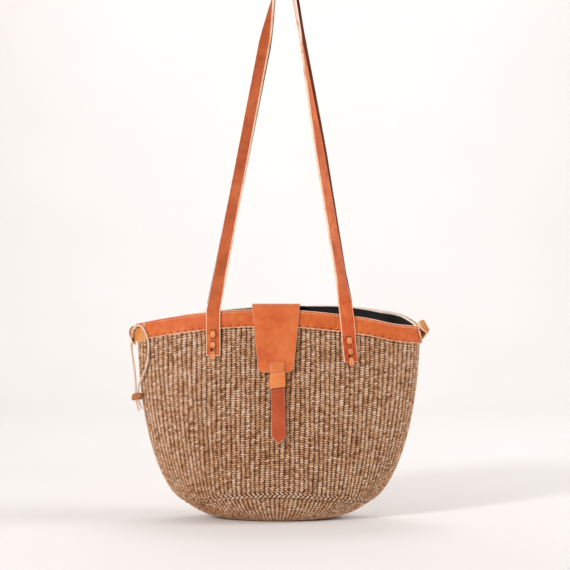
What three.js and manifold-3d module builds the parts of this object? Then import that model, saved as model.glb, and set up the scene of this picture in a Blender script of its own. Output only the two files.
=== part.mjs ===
// A hand-twined sisal basket tote with leather trim: a lined basket on a rounded base, rim
// bands, two laced shoulder straps, a closing flap whose tongue goes through a keeper, two
// side tabs, and a lace with a slide bead on the left one.
// Millimetres, +Z up, front toward -Y, origin on the flat it stands on, under the rim's middle.
import * as THREE from 'three';
import { mergeVertices } from 'three/addons/utils/BufferGeometryUtils.js';
import Module from 'manifold-3d';

const wasm = await Module();
wasm.setup();

// Clearances
const SEAT_GAP = 0.3; // between pieces that lie on each other
const HINGE_GAP = 0.4; // between the fixed and the moving leather at a bend
const LINING_SLACK = 3.2; // the lining hangs this far inside the wall

// Basket
const RIM_HALF_LENGTH = 176.5;
const RIM_HALF_DEPTH = 46;
const RIM_END_Z = 240.7;
const RIM_TILT = 1.7; // the left end lies higher and the right end lower by this
const RIM_FRONT_RISE = 20.3; // the rim's middle over its ends
const RIM_BACK_RISE = 23;
const RIM_FRONT_SWAY = -3.2; // how far an arch leans to the right
const RIM_BACK_SWAY = 4.5;
const RIM_FRONT_POWER = 1.75; // a higher power makes a flatter arch
const RIM_BACK_LEFT_POWER = 2;
const RIM_BACK_RIGHT_POWER = 4;
const RIDGE_HALF_LENGTH = 115;
const RIDGE_HALF_DEPTH = 53;
const RIDGE_END_Z = 22;
const RIDGE_SIDE_RISE = 14.5; // the ridge's front and back over its ends
const BASE_SHIFT = -2; // the base sits a little left of the rim's middle
const FOOT_HALF_LENGTH = 50; // the flat that it stands on
const FOOT_HALF_DEPTH = 25;
const RIDGE_TUCK_LENGTH = 10; // how far the base draws in just under the ridge
const RIDGE_TUCK_DEPTH = 3;
const FOOT_RUN_LENGTH = 30; // how far the base runs out flat from the foot
const FOOT_RUN_DEPTH = 15;
const BELLY = 11; // how far the wall swells between ridge and rim
const SIDE_EASE = 0.66;
const SIDE_FLARE = 1.9;
const WALL = 4;
const WALE_RADIUS = 3;
const WALE_END_DROP = 0.7; // how far the wale's place on the ridge looks down, as a sine
const WALE_SIDE_DROP = 0.14;
const LINING = 1;
const LINING_HEM_DROP = 0.8; // the lining's hem under the rim

// Rim bands
const BAND_HEIGHT = 21;
const BAND = 2;
const BAND_RISE = 0.5; // the raw top edge stands over the woven rim
const BAND_SEAM_LEFT_INSET = 11.5; // each seam is this far in from the basket's end, on the front
const BAND_SEAM_RIGHT_INSET = 2.5;

// Straps
const STRAP_WIDTH = 17.4;
const STRAP = 3;
const FRONT_LEFT_X = -79.5; // where each leg leaves the rim
const FRONT_RIGHT_X = 81.5;
const BACK_LEFT_X = -83;
const BACK_RIGHT_X = 84.5;
const FRONT_RIGHT_LEAN = 6; // the front strap's right end runs down and outward by this
const STRAP_TOP_Z = 667; // centre line at the top of the arch
const STRAP_TOP_Y = 10; // each strap's own side of the middle plane at the top
const ARCH_LEFT_X = -6.3; // where both left legs reach the arch
const FRONT_ARCH_RADIUS = 12;
const BACK_ARCH_RADIUS = 15;
const ARCH_OVERRUN = Math.PI / 18; // the arch runs this far past a half circle at each end
const FRONT_HINGE_RISE = 1; // the bend over the band, where the rim under the strap is highest
const BACK_HINGE_RISE = 1.9;
const FRONT_LEFT_END_Z = 204.5;
const FRONT_RIGHT_END_Z = 196.5;
const BACK_END_Z = 203;
// How far each leg has turned, in degrees, at shares of its length
const LEFT_TURN = [[0.12, 30], [0.85, 35], [1, 90]];
const RIGHT_TURN = [[0.1, 46], [0.5, 52], [0.9, 90], [1, 90]];

// Lacing thongs: heights over the strap's lower end where a thong goes through
const THONG_WIDTH = 5;
const THONG = 1.8;
const LACING_HOLES = [30.5, 22, 17, 9.5, 5.7];
const THONG_TAIL_DROP = 4; // the tail hangs this far past the strap's end
const THONG_INNER_END = 5; // and its other end this far over the top hole inside

// Flap, tongue and keeper
const FLAP_X = -3.6;
const FLAP_WIDTH = 62; // at the back rim
const FLAP_FOLD_WIDTH = 57.5; // at the fold over the front rim
const FLAP_END_WIDTH = 42.5;
const FLAP = 2.2;
const FLAP_END_Z = 184.4;
const FLAP_FOLD_RADIUS = 4;
const FLAP_CORNER_RADIUS = 8;
const FLAP_TAIL_LENGTH = 34;
const SLOT_OVER_END = 12; // the slot's middle over the flap's lower edge
const TONGUE_X = -1.2;
const TONGUE_WIDTH = 16.6;
const TONGUE = 1.8;
const TONGUE_TIP_Z = 99.7;
const TONGUE_POINT = 11; // height of the pointed tip
const TONGUE_ROOT_RISE = 16; // sewn length behind the flap
const TONGUE_RISE = 1.4; // the tongue's top edge over the slot
const KEEPER_HEIGHT = 17;
const KEEPER = 1;
const KEEPER_UNDER_FLAP = 1.2;
const KEEPER_CLINCH = 7; // length of each end folded over inside the wall

// Side tabs: a folded strip with a hole for a lace
const TAB_WIDTH = 13;
const TAB = 1.6;
const TAB_HEIGHT = 23;
const TAB_LEFT_REACH = 7.2;
const TAB_LEFT_RISE = -2.2; // each tab's middle over the middle of the bands' ends
const TAB_RIGHT_REACH = 8.2;
const TAB_RIGHT_RISE = 5.3;
const TAB_FLAT = 3.5; // the strip runs out straight this far before it slopes to the tip
const TAB_TIP = 9; // height of the blunt tip
const TAB_NOSE = 0.6; // how far the tip is rounded out

// Side lace: from one tail through the bead, round through the left tab and back
const LACE_DIAMETER = 2.6;
const LACE_ROUTE = [
  [-169.8, -14.8, 137.5], [-172.8, -13.8, 143.5], [-174.6, -13, 149.3], [-174.6, -13, 157.3],
  [-174.2, -13.3, 166], [-171.2, -16.2, 173.5], [-167, -20.2, 182], [-163.4, -23.2, 192],
  [-161.3, -24.2, 205], [-161.2, -23.9, 218.5], [-163.6, -22.9, 229], [-166.6, -21, 235.2],
  [-171, -18.3, 240], [-176.4, -14.8, 240.6], [-180.6, -11, 236.8], [-182.5, -6.5, 232.6],
  [-182.8, 0, 230.6], [-183, 6, 229.6], [-184, 9.6, 226.6], [-185.1, 10.2, 220],
  [-185.3, 8.6, 211.5], [-183, 3.4, 198], [-179.6, -5.6, 180], [-178.1, -12, 168],
  [-177.8, -13, 157.3], [-177.8, -13, 149.3], [-176.4, -13.5, 143.5], [-173.6, -14.4, 135],
];
const BEAD_LENGTH = 12;
const BEAD_DEPTH = 7;
const BEAD_HEIGHT = 8;
const BEAD_HOLE_LENGTH = 6.6;
const BEAD_HOLE_DEPTH = 3.4;
const BEAD_X = -176.2;
const BEAD_Y = -13;
const BEAD_Z = 153.3;

// Facets
const AROUND = 64;
const END_CROWDING = 0.3; // facets are closer together at the basket's narrow ends
const WALL_ROWS = [0, 0.04, 0.11, 0.19, 0.29, 0.42, 0.57, 0.71, 0.85, 1];
const BASE_ROWS = 5;
const LEG_STEPS = 20;
const ARCH_STEPS = 12;

const HALF_TURN = Math.PI;
const UP = new THREE.Vector3(0, 0, 1);
const mix = THREE.MathUtils.lerp;

// Solids

function meshOf(name, geometry, color, roughness) {
  const mesh = new THREE.Mesh(geometry, new THREE.MeshStandardMaterial({ color, roughness, metalness: 0 }));
  mesh.name = name;
  return mesh;
}

function signedVolume(points, faces) {
  const normal = new THREE.Vector3();
  let total = 0;
  for (let i = 0; i < faces.length; i += 3) {
    const [a, b, c] = [points[faces[i]], points[faces[i + 1]], points[faces[i + 2]]];
    total += a.dot(normal.crossVectors(b, c));
  }
  return total;
}

// A closed solid through rings of points: rings follow each other, and the last one joins the
// first or both ends are capped with a fan.
function ringSolid(rings, closed) {
  const count = rings[0].length;
  const points = rings.flat();
  const faces = [];
  const spans = closed ? rings.length : rings.length - 1;
  for (let r = 0; r < spans; r += 1) {
    const low = r * count;
    const high = ((r + 1) % rings.length) * count;
    for (let i = 0; i < count; i += 1) {
      const next = (i + 1) % count;
      faces.push(low + i, low + next, high + next, low + i, high + next, high + i);
    }
  }
  if (!closed) {
    for (const [ring, turned] of [[0, true], [rings.length - 1, false]]) {
      const middle = points.length;
      const sum = rings[ring].reduce((total, p) => total.add(p), new THREE.Vector3());
      points.push(sum.divideScalar(count));
      for (let i = 0; i < count; i += 1) {
        const a = ring * count + i;
        const b = ring * count + ((i + 1) % count);
        faces.push(middle, turned ? b : a, turned ? a : b);
      }
    }
  }
  if (signedVolume(points, faces) < 0) {
    faces.reverse();
  }
  const geometry = new THREE.BufferGeometry().setFromPoints(points);
  geometry.setIndex(faces);
  return geometry;
}

// A flat strip that follows stations of {middle, across, width}. Its thickness is square to its
// run and to across; a station's own along, where it has one, sets the plane of its end.
function stripSolid(stations, thickness) {
  const rings = stations.map((station, i) => {
    const before = stations[Math.max(i - 1, 0)].middle;
    const after = stations[Math.min(i + 1, stations.length - 1)].middle;
    const along = station.along ?? after.clone().sub(before).normalize();
    const out = new THREE.Vector3().crossVectors(along, station.across).normalize();
    const across = new THREE.Vector3().crossVectors(out, along);
    return [[-1, -1], [1, -1], [1, 1], [-1, 1]].map(([side, face]) => station.middle.clone()
      .addScaledVector(across, side * station.width / 2)
      .addScaledVector(out, face * thickness / 2));
  });
  return ringSolid(rings, false);
}

// The outline of a strip of the given thickness along a path of [x, y] points.
function ribbonOutline(path, thickness) {
  const points = path.map(([x, y]) => new THREE.Vector2(x, y));
  const sideOf = (i) => {
    const along = points[i + 1].clone().sub(points[i]).normalize();
    return new THREE.Vector2(-along.y, along.x);
  };
  const left = [];
  const right = [];
  points.forEach((point, i) => {
    const before = sideOf(Math.max(i - 1, 0));
    const after = sideOf(Math.min(i, points.length - 2));
    const corner = before.clone().add(after).normalize();
    corner.multiplyScalar(thickness / 2 / corner.dot(before));
    left.push(point.clone().add(corner));
    right.push(point.clone().sub(corner));
  });
  return new THREE.Shape([...left, ...right.reverse()]);
}

function extruded(shape, depth, matrix) {
  const geometry = new THREE.ExtrudeGeometry(shape, { depth, bevelEnabled: false, curveSegments: 6 });
  return merged(geometry.applyMatrix4(matrix));
}

function merged(geometry) {
  geometry.deleteAttribute('normal');
  geometry.deleteAttribute('uv');
  return mergeVertices(geometry, 1e-4);
}

function manifoldOf(geometry) {
  return new wasm.Manifold(new wasm.Mesh({
    numProp: 3,
    vertProperties: new Float32Array(geometry.attributes.position.array),
    triVerts: new Uint32Array(geometry.index.array),
  }));
}

function cut(geometry, cutters) {
  let solid = manifoldOf(geometry);
  for (const cutter of cutters) {
    solid = solid.subtract(manifoldOf(cutter));
  }
  const result = solid.getMesh();
  const cutGeometry = new THREE.BufferGeometry();
  cutGeometry.setAttribute('position', new THREE.BufferAttribute(result.vertProperties, 3));
  cutGeometry.setIndex(new THREE.BufferAttribute(result.triVerts, 1));
  return cutGeometry;
}

// The basket's surface

const angles = Array.from({ length: AROUND }, (_, i) => {
  const even = 2 * HALF_TURN * i / AROUND;
  return even - END_CROWDING * Math.sin(2 * even);
});

function rimHeight(angle) {
  const c = Math.cos(angle);
  const arch = (rise, sway, power) => (rise + sway * c) * (1 - Math.abs(c) ** power);
  const front = arch(RIM_FRONT_RISE, RIM_FRONT_SWAY, RIM_FRONT_POWER);
  const back = arch(RIM_BACK_RISE, RIM_BACK_SWAY, c > 0 ? RIM_BACK_RIGHT_POWER : RIM_BACK_LEFT_POWER);
  return RIM_END_Z - RIM_TILT * c + (Math.sin(angle) > 0 ? back : front);
}

function ridgeHeight(angle) {
  return RIDGE_END_Z + RIDGE_SIDE_RISE * Math.sin(angle) ** 2;
}

// The wall at a height: its outer half length and half depth, and its middle's x
function wallOval(angle, z) {
  const ridge = ridgeHeight(angle);
  const share = THREE.MathUtils.clamp((z - ridge) / (rimHeight(angle) - ridge), 0, 1);
  const eased = share ** SIDE_EASE;
  return {
    length: mix(RIDGE_HALF_LENGTH, RIM_HALF_LENGTH, 1 - (1 - eased) ** SIDE_FLARE),
    depth: mix(RIDGE_HALF_DEPTH, RIM_HALF_DEPTH, share) + BELLY * Math.sin(HALF_TURN * eased),
    middleX: mix(BASE_SHIFT, 0, share),
  };
}

function wallPoint(angle, z, outward) {
  const { length, depth, middleX } = wallOval(angle, z);
  const [c, s] = [Math.cos(angle), Math.sin(angle)];
  return new THREE.Vector3(middleX + (length + outward) * c, (depth + outward) * s, z);
}

// Heights of the wall's rows at an angle, from the ridge to the band's lower edge and the rim
function rowHeights(angle) {
  const low = ridgeHeight(angle);
  const bandLow = rimHeight(angle) - BAND_HEIGHT;
  return [...WALL_ROWS.map((share) => mix(low, bandLow, share)), rimHeight(angle)];
}

function bezier(a, b, c, d, share) {
  const rest = 1 - share;
  return a * rest ** 3 + 3 * b * rest * rest * share + 3 * c * rest * share * share + d * share ** 3;
}

// A point of the base's skin, from the ridge (share 0) to the edge of the flat (share 1).
// inward is how far the skin lies inside the outer one.
function basePoint(angle, share, inward) {
  const ridge = ridgeHeight(angle);
  const length = bezier(
    RIDGE_HALF_LENGTH - inward, RIDGE_HALF_LENGTH - RIDGE_TUCK_LENGTH - inward,
    FOOT_HALF_LENGTH + FOOT_RUN_LENGTH - inward / 2, FOOT_HALF_LENGTH, share,
  );
  const depth = bezier(
    RIDGE_HALF_DEPTH - inward, RIDGE_HALF_DEPTH - RIDGE_TUCK_DEPTH - inward,
    FOOT_HALF_DEPTH + FOOT_RUN_DEPTH - inward / 2, FOOT_HALF_DEPTH, share,
  );
  const z = bezier(ridge, (ridge + inward) / 2, inward, inward, share);
  return new THREE.Vector3(BASE_SHIFT + length * Math.cos(angle), depth * Math.sin(angle), z);
}

// The place on the wall at x and z, on the front (side -1) or the back (side 1), with the
// directions across, up and out of the wall there.
function wallFrame(x, z, side) {
  let angle = side * HALF_TURN / 2;
  for (let i = 0; i < 20; i += 1) {
    const { length, middleX } = wallOval(angle, z);
    angle = side * Math.acos((x - middleX) / length);
  }
  const step = 0.01;
  const origin = wallPoint(angle, z, 0);
  const across = wallPoint(angle + step, z, 0).sub(wallPoint(angle - step, z, 0)).normalize();
  const up = wallPoint(angle, z + 1, 0).sub(wallPoint(angle, z - 1, 0));
  up.addScaledVector(across, -up.dot(across)).normalize();
  const out = new THREE.Vector3().crossVectors(across, up);
  return { origin, across, up, out };
}

// The same frame with its down direction turned toward across
function tilted(frame, angle) {
  const [c, s] = [Math.cos(angle), Math.sin(angle)];
  const across = frame.across.clone().multiplyScalar(c).addScaledVector(frame.up, s);
  const up = frame.up.clone().multiplyScalar(c).addScaledVector(frame.across, -s);
  return { ...frame, across, up };
}

function placed(frame, u, v, w) {
  return frame.origin.clone().addScaledVector(frame.across, u)
    .addScaledVector(frame.up, v).addScaledVector(frame.out, w);
}

// Extrudes a shape drawn in a wall frame's up and out directions, centred across it
function alongAcross(frame, shape, width) {
  const matrix = new THREE.Matrix4().makeBasis(frame.up, frame.out, frame.across);
  return extruded(shape, width, matrix.setPosition(placed(frame, -width / 2, 0, 0)));
}

// Extrudes a shape drawn in a wall frame's across and out directions, centred along it
function alongUp(frame, shape, height) {
  const matrix = new THREE.Matrix4().makeBasis(frame.across, frame.out, frame.up.clone().negate());
  return extruded(shape, height, matrix.setPosition(placed(frame, 0, height / 2, 0)));
}

// A box in a wall frame that goes right through the wall and what lies on it
function throughBox(frame, u, v, width, height) {
  const reach = 4 * WALL;
  const box = new THREE.BoxGeometry(width, height, 2 * reach);
  const matrix = new THREE.Matrix4().makeBasis(frame.across, frame.up, frame.out);
  return merged(box.applyMatrix4(matrix.setPosition(placed(frame, u, v, 0))));
}

// Basket, base, ridge and lining

function basketWall(cutters) {
  const rows = Array.from({ length: WALL_ROWS.length + 1 }, (_, row) => row);
  const ringAt = (row, outward) => angles.map((angle) => {
    const lift = row === 0 ? SEAT_GAP / 2 : 0;
    return wallPoint(angle, rowHeights(angle)[row] + lift, outward);
  });
  const outer = rows.map((row) => ringAt(row, 0));
  const inner = rows.map((row) => ringAt(row, -WALL)).reverse();
  return meshOf('basket_wall', cut(ringSolid([...outer, ...inner], true), cutters), 0xa98a61, 0.95);
}

function basketBase() {
  const shares = Array.from({ length: BASE_ROWS + 1 }, (_, i) => i / BASE_ROWS);
  const ringAt = (share, inward) => angles.map((angle) => {
    const point = basePoint(angle, share, inward);
    point.z -= share === 0 ? SEAT_GAP / 2 : 0;
    return point;
  });
  const inner = shares.map((share) => ringAt(share, WALL)).reverse();
  const outer = shares.map((share) => ringAt(share, 0));
  return meshOf('basket_base', ringSolid([...inner, ...outer], false), 0xa98a61, 0.95);
}

function baseWale() {
  const sides = 8;
  const rings = angles.map((angle) => {
    const drop = mix(WALE_END_DROP, WALE_SIDE_DROP, Math.sin(angle) ** 2);
    const flat = new THREE.Vector3(
      Math.cos(angle) / RIDGE_HALF_LENGTH, Math.sin(angle) / RIDGE_HALF_DEPTH, 0,
    ).normalize();
    const out = flat.clone().multiplyScalar(Math.sqrt(1 - drop * drop)).addScaledVector(UP, -drop);
    const other = flat.clone().multiplyScalar(drop).addScaledVector(UP, Math.sqrt(1 - drop * drop));
    const middle = basePoint(angle, 0, 0).addScaledVector(out, WALE_RADIUS + 2 * SEAT_GAP);
    return Array.from({ length: sides }, (_, i) => {
      const turn = 2 * HALF_TURN * i / sides;
      return middle.clone().addScaledVector(out, WALE_RADIUS * Math.cos(turn))
        .addScaledVector(other, WALE_RADIUS * Math.sin(turn));
    });
  });
  return meshOf('base_wale', ringSolid(rings, true), 0x9a774c, 0.95);
}

function lining() {
  const shares = Array.from({ length: BASE_ROWS + 1 }, (_, i) => i / BASE_ROWS).reverse();
  const slackAt = WALL_ROWS.map((share) => mix(2 * SEAT_GAP, LINING_SLACK, Math.min(1, 4 * share)));
  const wallRows = WALL_ROWS.map((_, row) => row).slice(1);
  const baseRing = (share, inward) => angles.map((angle) => basePoint(angle, share, WALL + inward));
  const wallRing = (row, inward) => angles.map((angle) => (
    wallPoint(angle, rowHeights(angle)[row], -(WALL + slackAt[row] + inward))));
  const hem = (inward) => angles.map((angle) => (
    wallPoint(angle, rimHeight(angle) - LINING_HEM_DROP, -(WALL + 2 * SEAT_GAP + inward))));
  const skin = (inward) => [
    ...shares.map((share) => baseRing(share, 2 * SEAT_GAP + inward)),
    ...wallRows.map((row) => wallRing(row, inward)),
    hem(inward),
  ];
  const rings = [...skin(LINING), ...skin(0).reverse()];
  return meshOf('lining', ringSolid(rings, false), 0x14110f, 0.9);
}

// Rim bands: two strips that meet in a seam at each side

const bandGap = 1.2 * SEAT_GAP; // a band's inner face off the wall, a little more at the facets

// The turn at which a front seam lies, from the right end round by the back and the left end
function seamTurn(end, inset) {
  return 2 * HALF_TURN - Math.acos(end * (RIM_HALF_LENGTH - inset) / RIM_HALF_LENGTH);
}

function rimBand(name, first, last) {
  const seam = SEAT_GAP / 2 / RIM_HALF_DEPTH;
  const turns = [first + seam, last - seam];
  const between = [-1, 0, 1].flatMap((lap) => angles.map((angle) => angle + lap * 2 * HALF_TURN))
    .filter((angle) => angle > turns[0] + seam && angle < turns[1] - seam);
  const rings = [turns[0], ...between, turns[1]].map((angle) => {
    const top = rimHeight(angle);
    const [low, high] = [top - BAND_HEIGHT, top + BAND_RISE];
    const corners = [[low, 0], [low, BAND], [high, BAND], [high, 0]];
    return corners.map(([z, out]) => wallPoint(angle, z, bandGap + out));
  });
  return meshOf(name, ringSolid(rings, false), 0xd9713a, 0.6);
}

// Straps: the laced ends lie on the wall, and the strap bends where it leaves the rim

const overBand = bandGap + BAND + SEAT_GAP;

function rimAt(x, side) {
  return rimHeight(side * Math.acos(x / RIM_HALF_LENGTH));
}

// Height of the straight line that a strap bends about
function hingeHeight(side) {
  const [feet, rise] = side < 0
    ? [[FRONT_LEFT_X, FRONT_RIGHT_X], FRONT_HINGE_RISE]
    : [[BACK_LEFT_X, BACK_RIGHT_X], BACK_HINGE_RISE];
  return Math.max(...feet.map((x) => rimAt(x, side))) + BAND_RISE + rise;
}

// The strap's middle where it leaves the rim
function strapFoot(x, side) {
  const rim = rimAt(x, side);
  const frame = wallFrame(x, rim - 1, side);
  const foot = placed(frame, 0, 0, overBand + STRAP / 2);
  foot.z = hingeHeight(side);
  return { foot, across: frame.across };
}

function strapEnd(name, x, lowZ, side, lean) {
  const bandLow = rimAt(x, side) - BAND_HEIGHT;
  const tilt = Math.atan2(lean, hingeHeight(side) - lowZ);
  const xAt = (z) => x + Math.tan(tilt) * (hingeHeight(side) - z);
  const station = (z, offset) => {
    const frame = wallFrame(xAt(z), z, side);
    return { middle: placed(frame, 0, 0, offset + STRAP / 2), across: frame.across, width: STRAP_WIDTH };
  };
  const { foot, across } = strapFoot(x, side);
  foot.z -= HINGE_GAP / 2;
  const stations = [
    station(lowZ, 2 * SEAT_GAP),
    station(bandLow - 1, overBand + SEAT_GAP),
    station(rimAt(x, side) - 1, overBand + SEAT_GAP),
    { middle: foot, across, width: STRAP_WIDTH, along: UP },
  ];
  const lacingZ = lowZ + LACING_HOLES[2];
  const frame = tilted(wallFrame(xAt(lacingZ), lacingZ, side), tilt);
  const lacing = strapLacing(`${name}_lacing`, frame, stations);
  return {
    end: meshOf(name, cut(stripSolid(stations, STRAP), lacing.holes), 0xc8643a, 0.6),
    lacing: lacing.mesh,
    holes: lacing.holes,
  };
}

// A thong that is stitched through the strap's end and the wall and comes out as a short tail
function strapLacing(name, frame, stations) {
  const heightIn = (point) => point.clone().sub(frame.origin).dot(frame.up);
  const outIn = (point) => point.clone().sub(frame.origin).dot(frame.out);
  const [low, high] = stations.map((station) => station.middle);
  const faceAt = (v) => {
    const share = (v - heightIn(low)) / (heightIn(high) - heightIn(low));
    return mix(outIn(low), outIn(high), share) + STRAP / 2;
  };
  const outside = (v) => [v, faceAt(v) + 1.5 * SEAT_GAP + THONG / 2];
  const inside = (v) => [v, -WALL - 1.5 * SEAT_GAP - THONG / 2];
  const base = heightIn(low);
  const [h1, h2, h3, h4, h5] = LACING_HOLES.map((height) => base + height);
  const path = [
    inside(h1 + THONG_INNER_END), inside(h1), outside(h1), outside(h2), inside(h2), inside(h3),
    outside(h3), outside(h4), inside(h4), inside(h5), outside(h5), outside(base - THONG_TAIL_DROP),
  ];
  const thong = alongAcross(frame, ribbonOutline(path, THONG), THONG_WIDTH);
  const wide = THONG_WIDTH + 2 * SEAT_GAP;
  const tall = THONG + 2 * SEAT_GAP;
  const slot = throughBox(frame, 0, (h4 + h5) / 2, wide, tall + h4 - h5);
  const holes = [h1, h2, h3].map((v) => throughBox(frame, 0, v, wide, tall));
  return { mesh: meshOf(name, thong, 0xc07a50, 0.7), holes: [...holes, slot] };
}

// How far a leg has turned at a share of its length, from the turn at its foot
function turnAt(turns, footTurn, share) {
  let [from, start] = [0, footTurn];
  for (const [to, end] of turns) {
    if (share <= to) {
      return mix(start, end, (share - from) / (to - from));
    }
    [from, start] = [to, end];
  }
  return start;
}

function strap(name, side, leftX, rightX, archRadius) {
  const topY = side * STRAP_TOP_Y;
  const archMiddle = new THREE.Vector3(ARCH_LEFT_X + archRadius, topY, STRAP_TOP_Z - archRadius);
  const archPoint = (turn) => archMiddle.clone()
    .add(new THREE.Vector3(-archRadius * Math.cos(turn), 0, archRadius * Math.sin(turn)));
  const leg = (x, turns, way, end) => {
    const { foot } = strapFoot(x, side);
    foot.z += HINGE_GAP / 2;
    const { out } = wallFrame(x, rimAt(x, side) - 1, side);
    const footTurn = THREE.MathUtils.radToDeg(Math.atan2(way * out.x, side * out.y));
    return Array.from({ length: LEG_STEPS }, (_, i) => {
      const share = i / LEG_STEPS;
      const turn = THREE.MathUtils.degToRad(turnAt(turns, footTurn, share));
      const across = new THREE.Vector3(side * Math.cos(turn), -way * Math.sin(turn), 0);
      return { middle: foot.clone().lerp(end, share), across, width: STRAP_WIDTH };
    });
  };
  const arch = Array.from({ length: ARCH_STEPS + 1 }, (_, i) => {
    const turn = mix(-ARCH_OVERRUN, HALF_TURN + ARCH_OVERRUN, i / ARCH_STEPS);
    return { middle: archPoint(turn), across: new THREE.Vector3(0, 1, 0), width: STRAP_WIDTH };
  });
  const left = leg(leftX, LEFT_TURN, -1, arch[0].middle);
  const right = leg(rightX, RIGHT_TURN, 1, arch[ARCH_STEPS].middle).reverse();
  left[0].along = UP;
  right[LEG_STEPS - 1].along = UP.clone().negate();
  const stations = [...left, ...arch, ...right];
  for (let i = 1; i < stations.length; i += 1) {
    if (stations[i].across.dot(stations[i - 1].across) < 0) {
      stations[i].across.negate();
    }
  }
  return meshOf(name, stripSolid(stations, STRAP), 0xc8643a, 0.6);
}

// Flap: sewn outside the back band, bent over the back rim, across the mouth and down the front

const flapOffset = overBand + SEAT_GAP; // the flap's inner face off the wall
const rimUnderFlap = Math.max(...[-1, 1].flatMap((side) => (
  [-0.5, 0, 0.5].map((share) => rimAt(FLAP_X + share * FLAP_WIDTH, side)))));
const flapRoofZ = rimUnderFlap + BAND_RISE + SEAT_GAP + FLAP / 2;
const slotZ = FLAP_END_Z + SLOT_OVER_END;

function flapTail() {
  const top = flapRoofZ + FLAP / 2;
  const shares = [0, 0.5, 1];
  const seat = rimAt(FLAP_X, 1) - 1;
  const stations = shares.map((share) => {
    const frame = wallFrame(FLAP_X, mix(top - FLAP_TAIL_LENGTH, seat, share), 1);
    const middle = placed(frame, 0, 0, flapOffset + FLAP / 2);
    return { middle, across: new THREE.Vector3(1, 0, 0), width: FLAP_WIDTH };
  });
  const last = stations[stations.length - 1];
  const middle = last.middle.clone();
  middle.z = top;
  stations.push({ ...last, middle });
  return meshOf('flap_tail', stripSolid(stations, FLAP), 0xe0783e, 0.55);
}

function flapBackY() {
  const frame = wallFrame(FLAP_X, rimAt(FLAP_X, 1) - 1, 1);
  return placed(frame, 0, 0, flapOffset).y - HINGE_GAP;
}

// The flap's middle surface off the front wall at a height
function flapFrontPoint(z) {
  const frame = wallFrame(FLAP_X, z, -1);
  const point = placed(frame, 0, 0, flapOffset + FLAP / 2);
  return new THREE.Vector3(FLAP_X, point.y, point.z);
}

function flap() {
  const across = new THREE.Vector3(1, 0, 0);
  const seat = rimAt(FLAP_X, -1) - FLAP_FOLD_RADIUS / 2;
  const frontY = flapFrontPoint(seat).y;
  const roof = [0, 0.33, 0.67].map((share) => (
    new THREE.Vector3(FLAP_X, mix(flapBackY(), frontY + FLAP_FOLD_RADIUS, share), flapRoofZ)));
  const fold = [0, 0.25, 0.5, 0.75, 1].map((share) => {
    const turn = share * HALF_TURN / 2;
    return new THREE.Vector3(
      FLAP_X, frontY + FLAP_FOLD_RADIUS * (1 - Math.sin(turn)),
      flapRoofZ - FLAP_FOLD_RADIUS * (1 - Math.cos(turn)),
    );
  });
  const foldEnd = flapRoofZ - FLAP_FOLD_RADIUS;
  const fall = [0.2, 0.4, 0.6, 0.8].map((share) => mix(foldEnd, FLAP_END_Z + FLAP_CORNER_RADIUS, share));
  const corner = [1, 0.6, 0.3, 0.1, 0].map((share) => FLAP_END_Z + share * FLAP_CORNER_RADIUS);
  const roofWidth = (y) => mix(FLAP_WIDTH, FLAP_FOLD_WIDTH, (flapBackY() - y) / (flapBackY() - frontY));
  const fallWidth = (z) => {
    const share = THREE.MathUtils.clamp((foldEnd - z) / (foldEnd - FLAP_END_Z), 0, 1);
    const straight = mix(FLAP_FOLD_WIDTH, FLAP_END_WIDTH, share);
    const up = Math.min(1, (z - FLAP_END_Z) / FLAP_CORNER_RADIUS);
    return straight - 2 * FLAP_CORNER_RADIUS * (1 - Math.sqrt(1 - (1 - up) ** 2));
  };
  const over = [...roof, ...fold].map((middle) => ({ middle, across, width: roofWidth(middle.y) }));
  const down = [...fall, ...corner].map((z) => ({ middle: flapFrontPoint(z), across, width: fallWidth(z) }));
  const stations = [...over, ...down];
  const frame = { ...wallFrame(TONGUE_X, slotZ, -1), across };
  const slot = throughBox(frame, 0, 0, TONGUE_WIDTH + 2 * SEAT_GAP, TONGUE + 2 * SEAT_GAP);
  return meshOf('flap', cut(stripSolid(stations, FLAP), [slot]), 0xe0783e, 0.55);
}

// Tongue: its root is sewn behind the flap and comes through the slot, and the rest hangs down

const flapFace = flapOffset + FLAP; // the flap's outer face off the wall
const tongueOverFlap = flapFace + SEAT_GAP;

function tongueRoot() {
  const frame = { ...wallFrame(TONGUE_X, slotZ, -1), across: new THREE.Vector3(1, 0, 0) };
  const behind = flapOffset - SEAT_GAP - TONGUE / 2;
  const path = [[TONGUE_ROOT_RISE, behind], [0, behind], [0, flapFace]];
  return meshOf('tongue_root', alongAcross(frame, ribbonOutline(path, TONGUE), TONGUE_WIDTH), 0xcd5a32, 0.6);
}

// The tongue's inner face off the wall: over the flap, then down through the keeper to the wall
function tongueOffset(z) {
  const free = FLAP_END_Z - KEEPER_UNDER_FLAP - KEEPER_HEIGHT;
  const lying = free - KEEPER_HEIGHT;
  const share = THREE.MathUtils.clamp((FLAP_END_Z - z) / (FLAP_END_Z - lying), 0, 1);
  return mix(tongueOverFlap, 2 * SEAT_GAP, share);
}

function tongue() {
  const across = new THREE.Vector3(1, 0, 0);
  const pointTop = TONGUE_TIP_Z + TONGUE_POINT;
  const topZ = slotZ + TONGUE / 2 + TONGUE_RISE;
  const straight = [0, 0.15, 0.3, 0.45, 0.6, 0.8, 1].map((share) => mix(topZ, pointTop, share));
  const heights = [...straight, TONGUE_TIP_Z];
  const stations = heights.map((z) => {
    const frame = wallFrame(TONGUE_X, z, -1);
    const middle = placed(frame, 0, 0, tongueOffset(z) + TONGUE / 2);
    const width = z > TONGUE_TIP_Z ? TONGUE_WIDTH : TONGUE / 2;
    return { middle: new THREE.Vector3(TONGUE_X, middle.y, middle.z), across, width };
  });
  return meshOf('tongue', stripSolid(stations, TONGUE), 0xcd5a32, 0.6);
}

// Keeper: a strap round the tongue whose ends go through slits and are folded over inside

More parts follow.
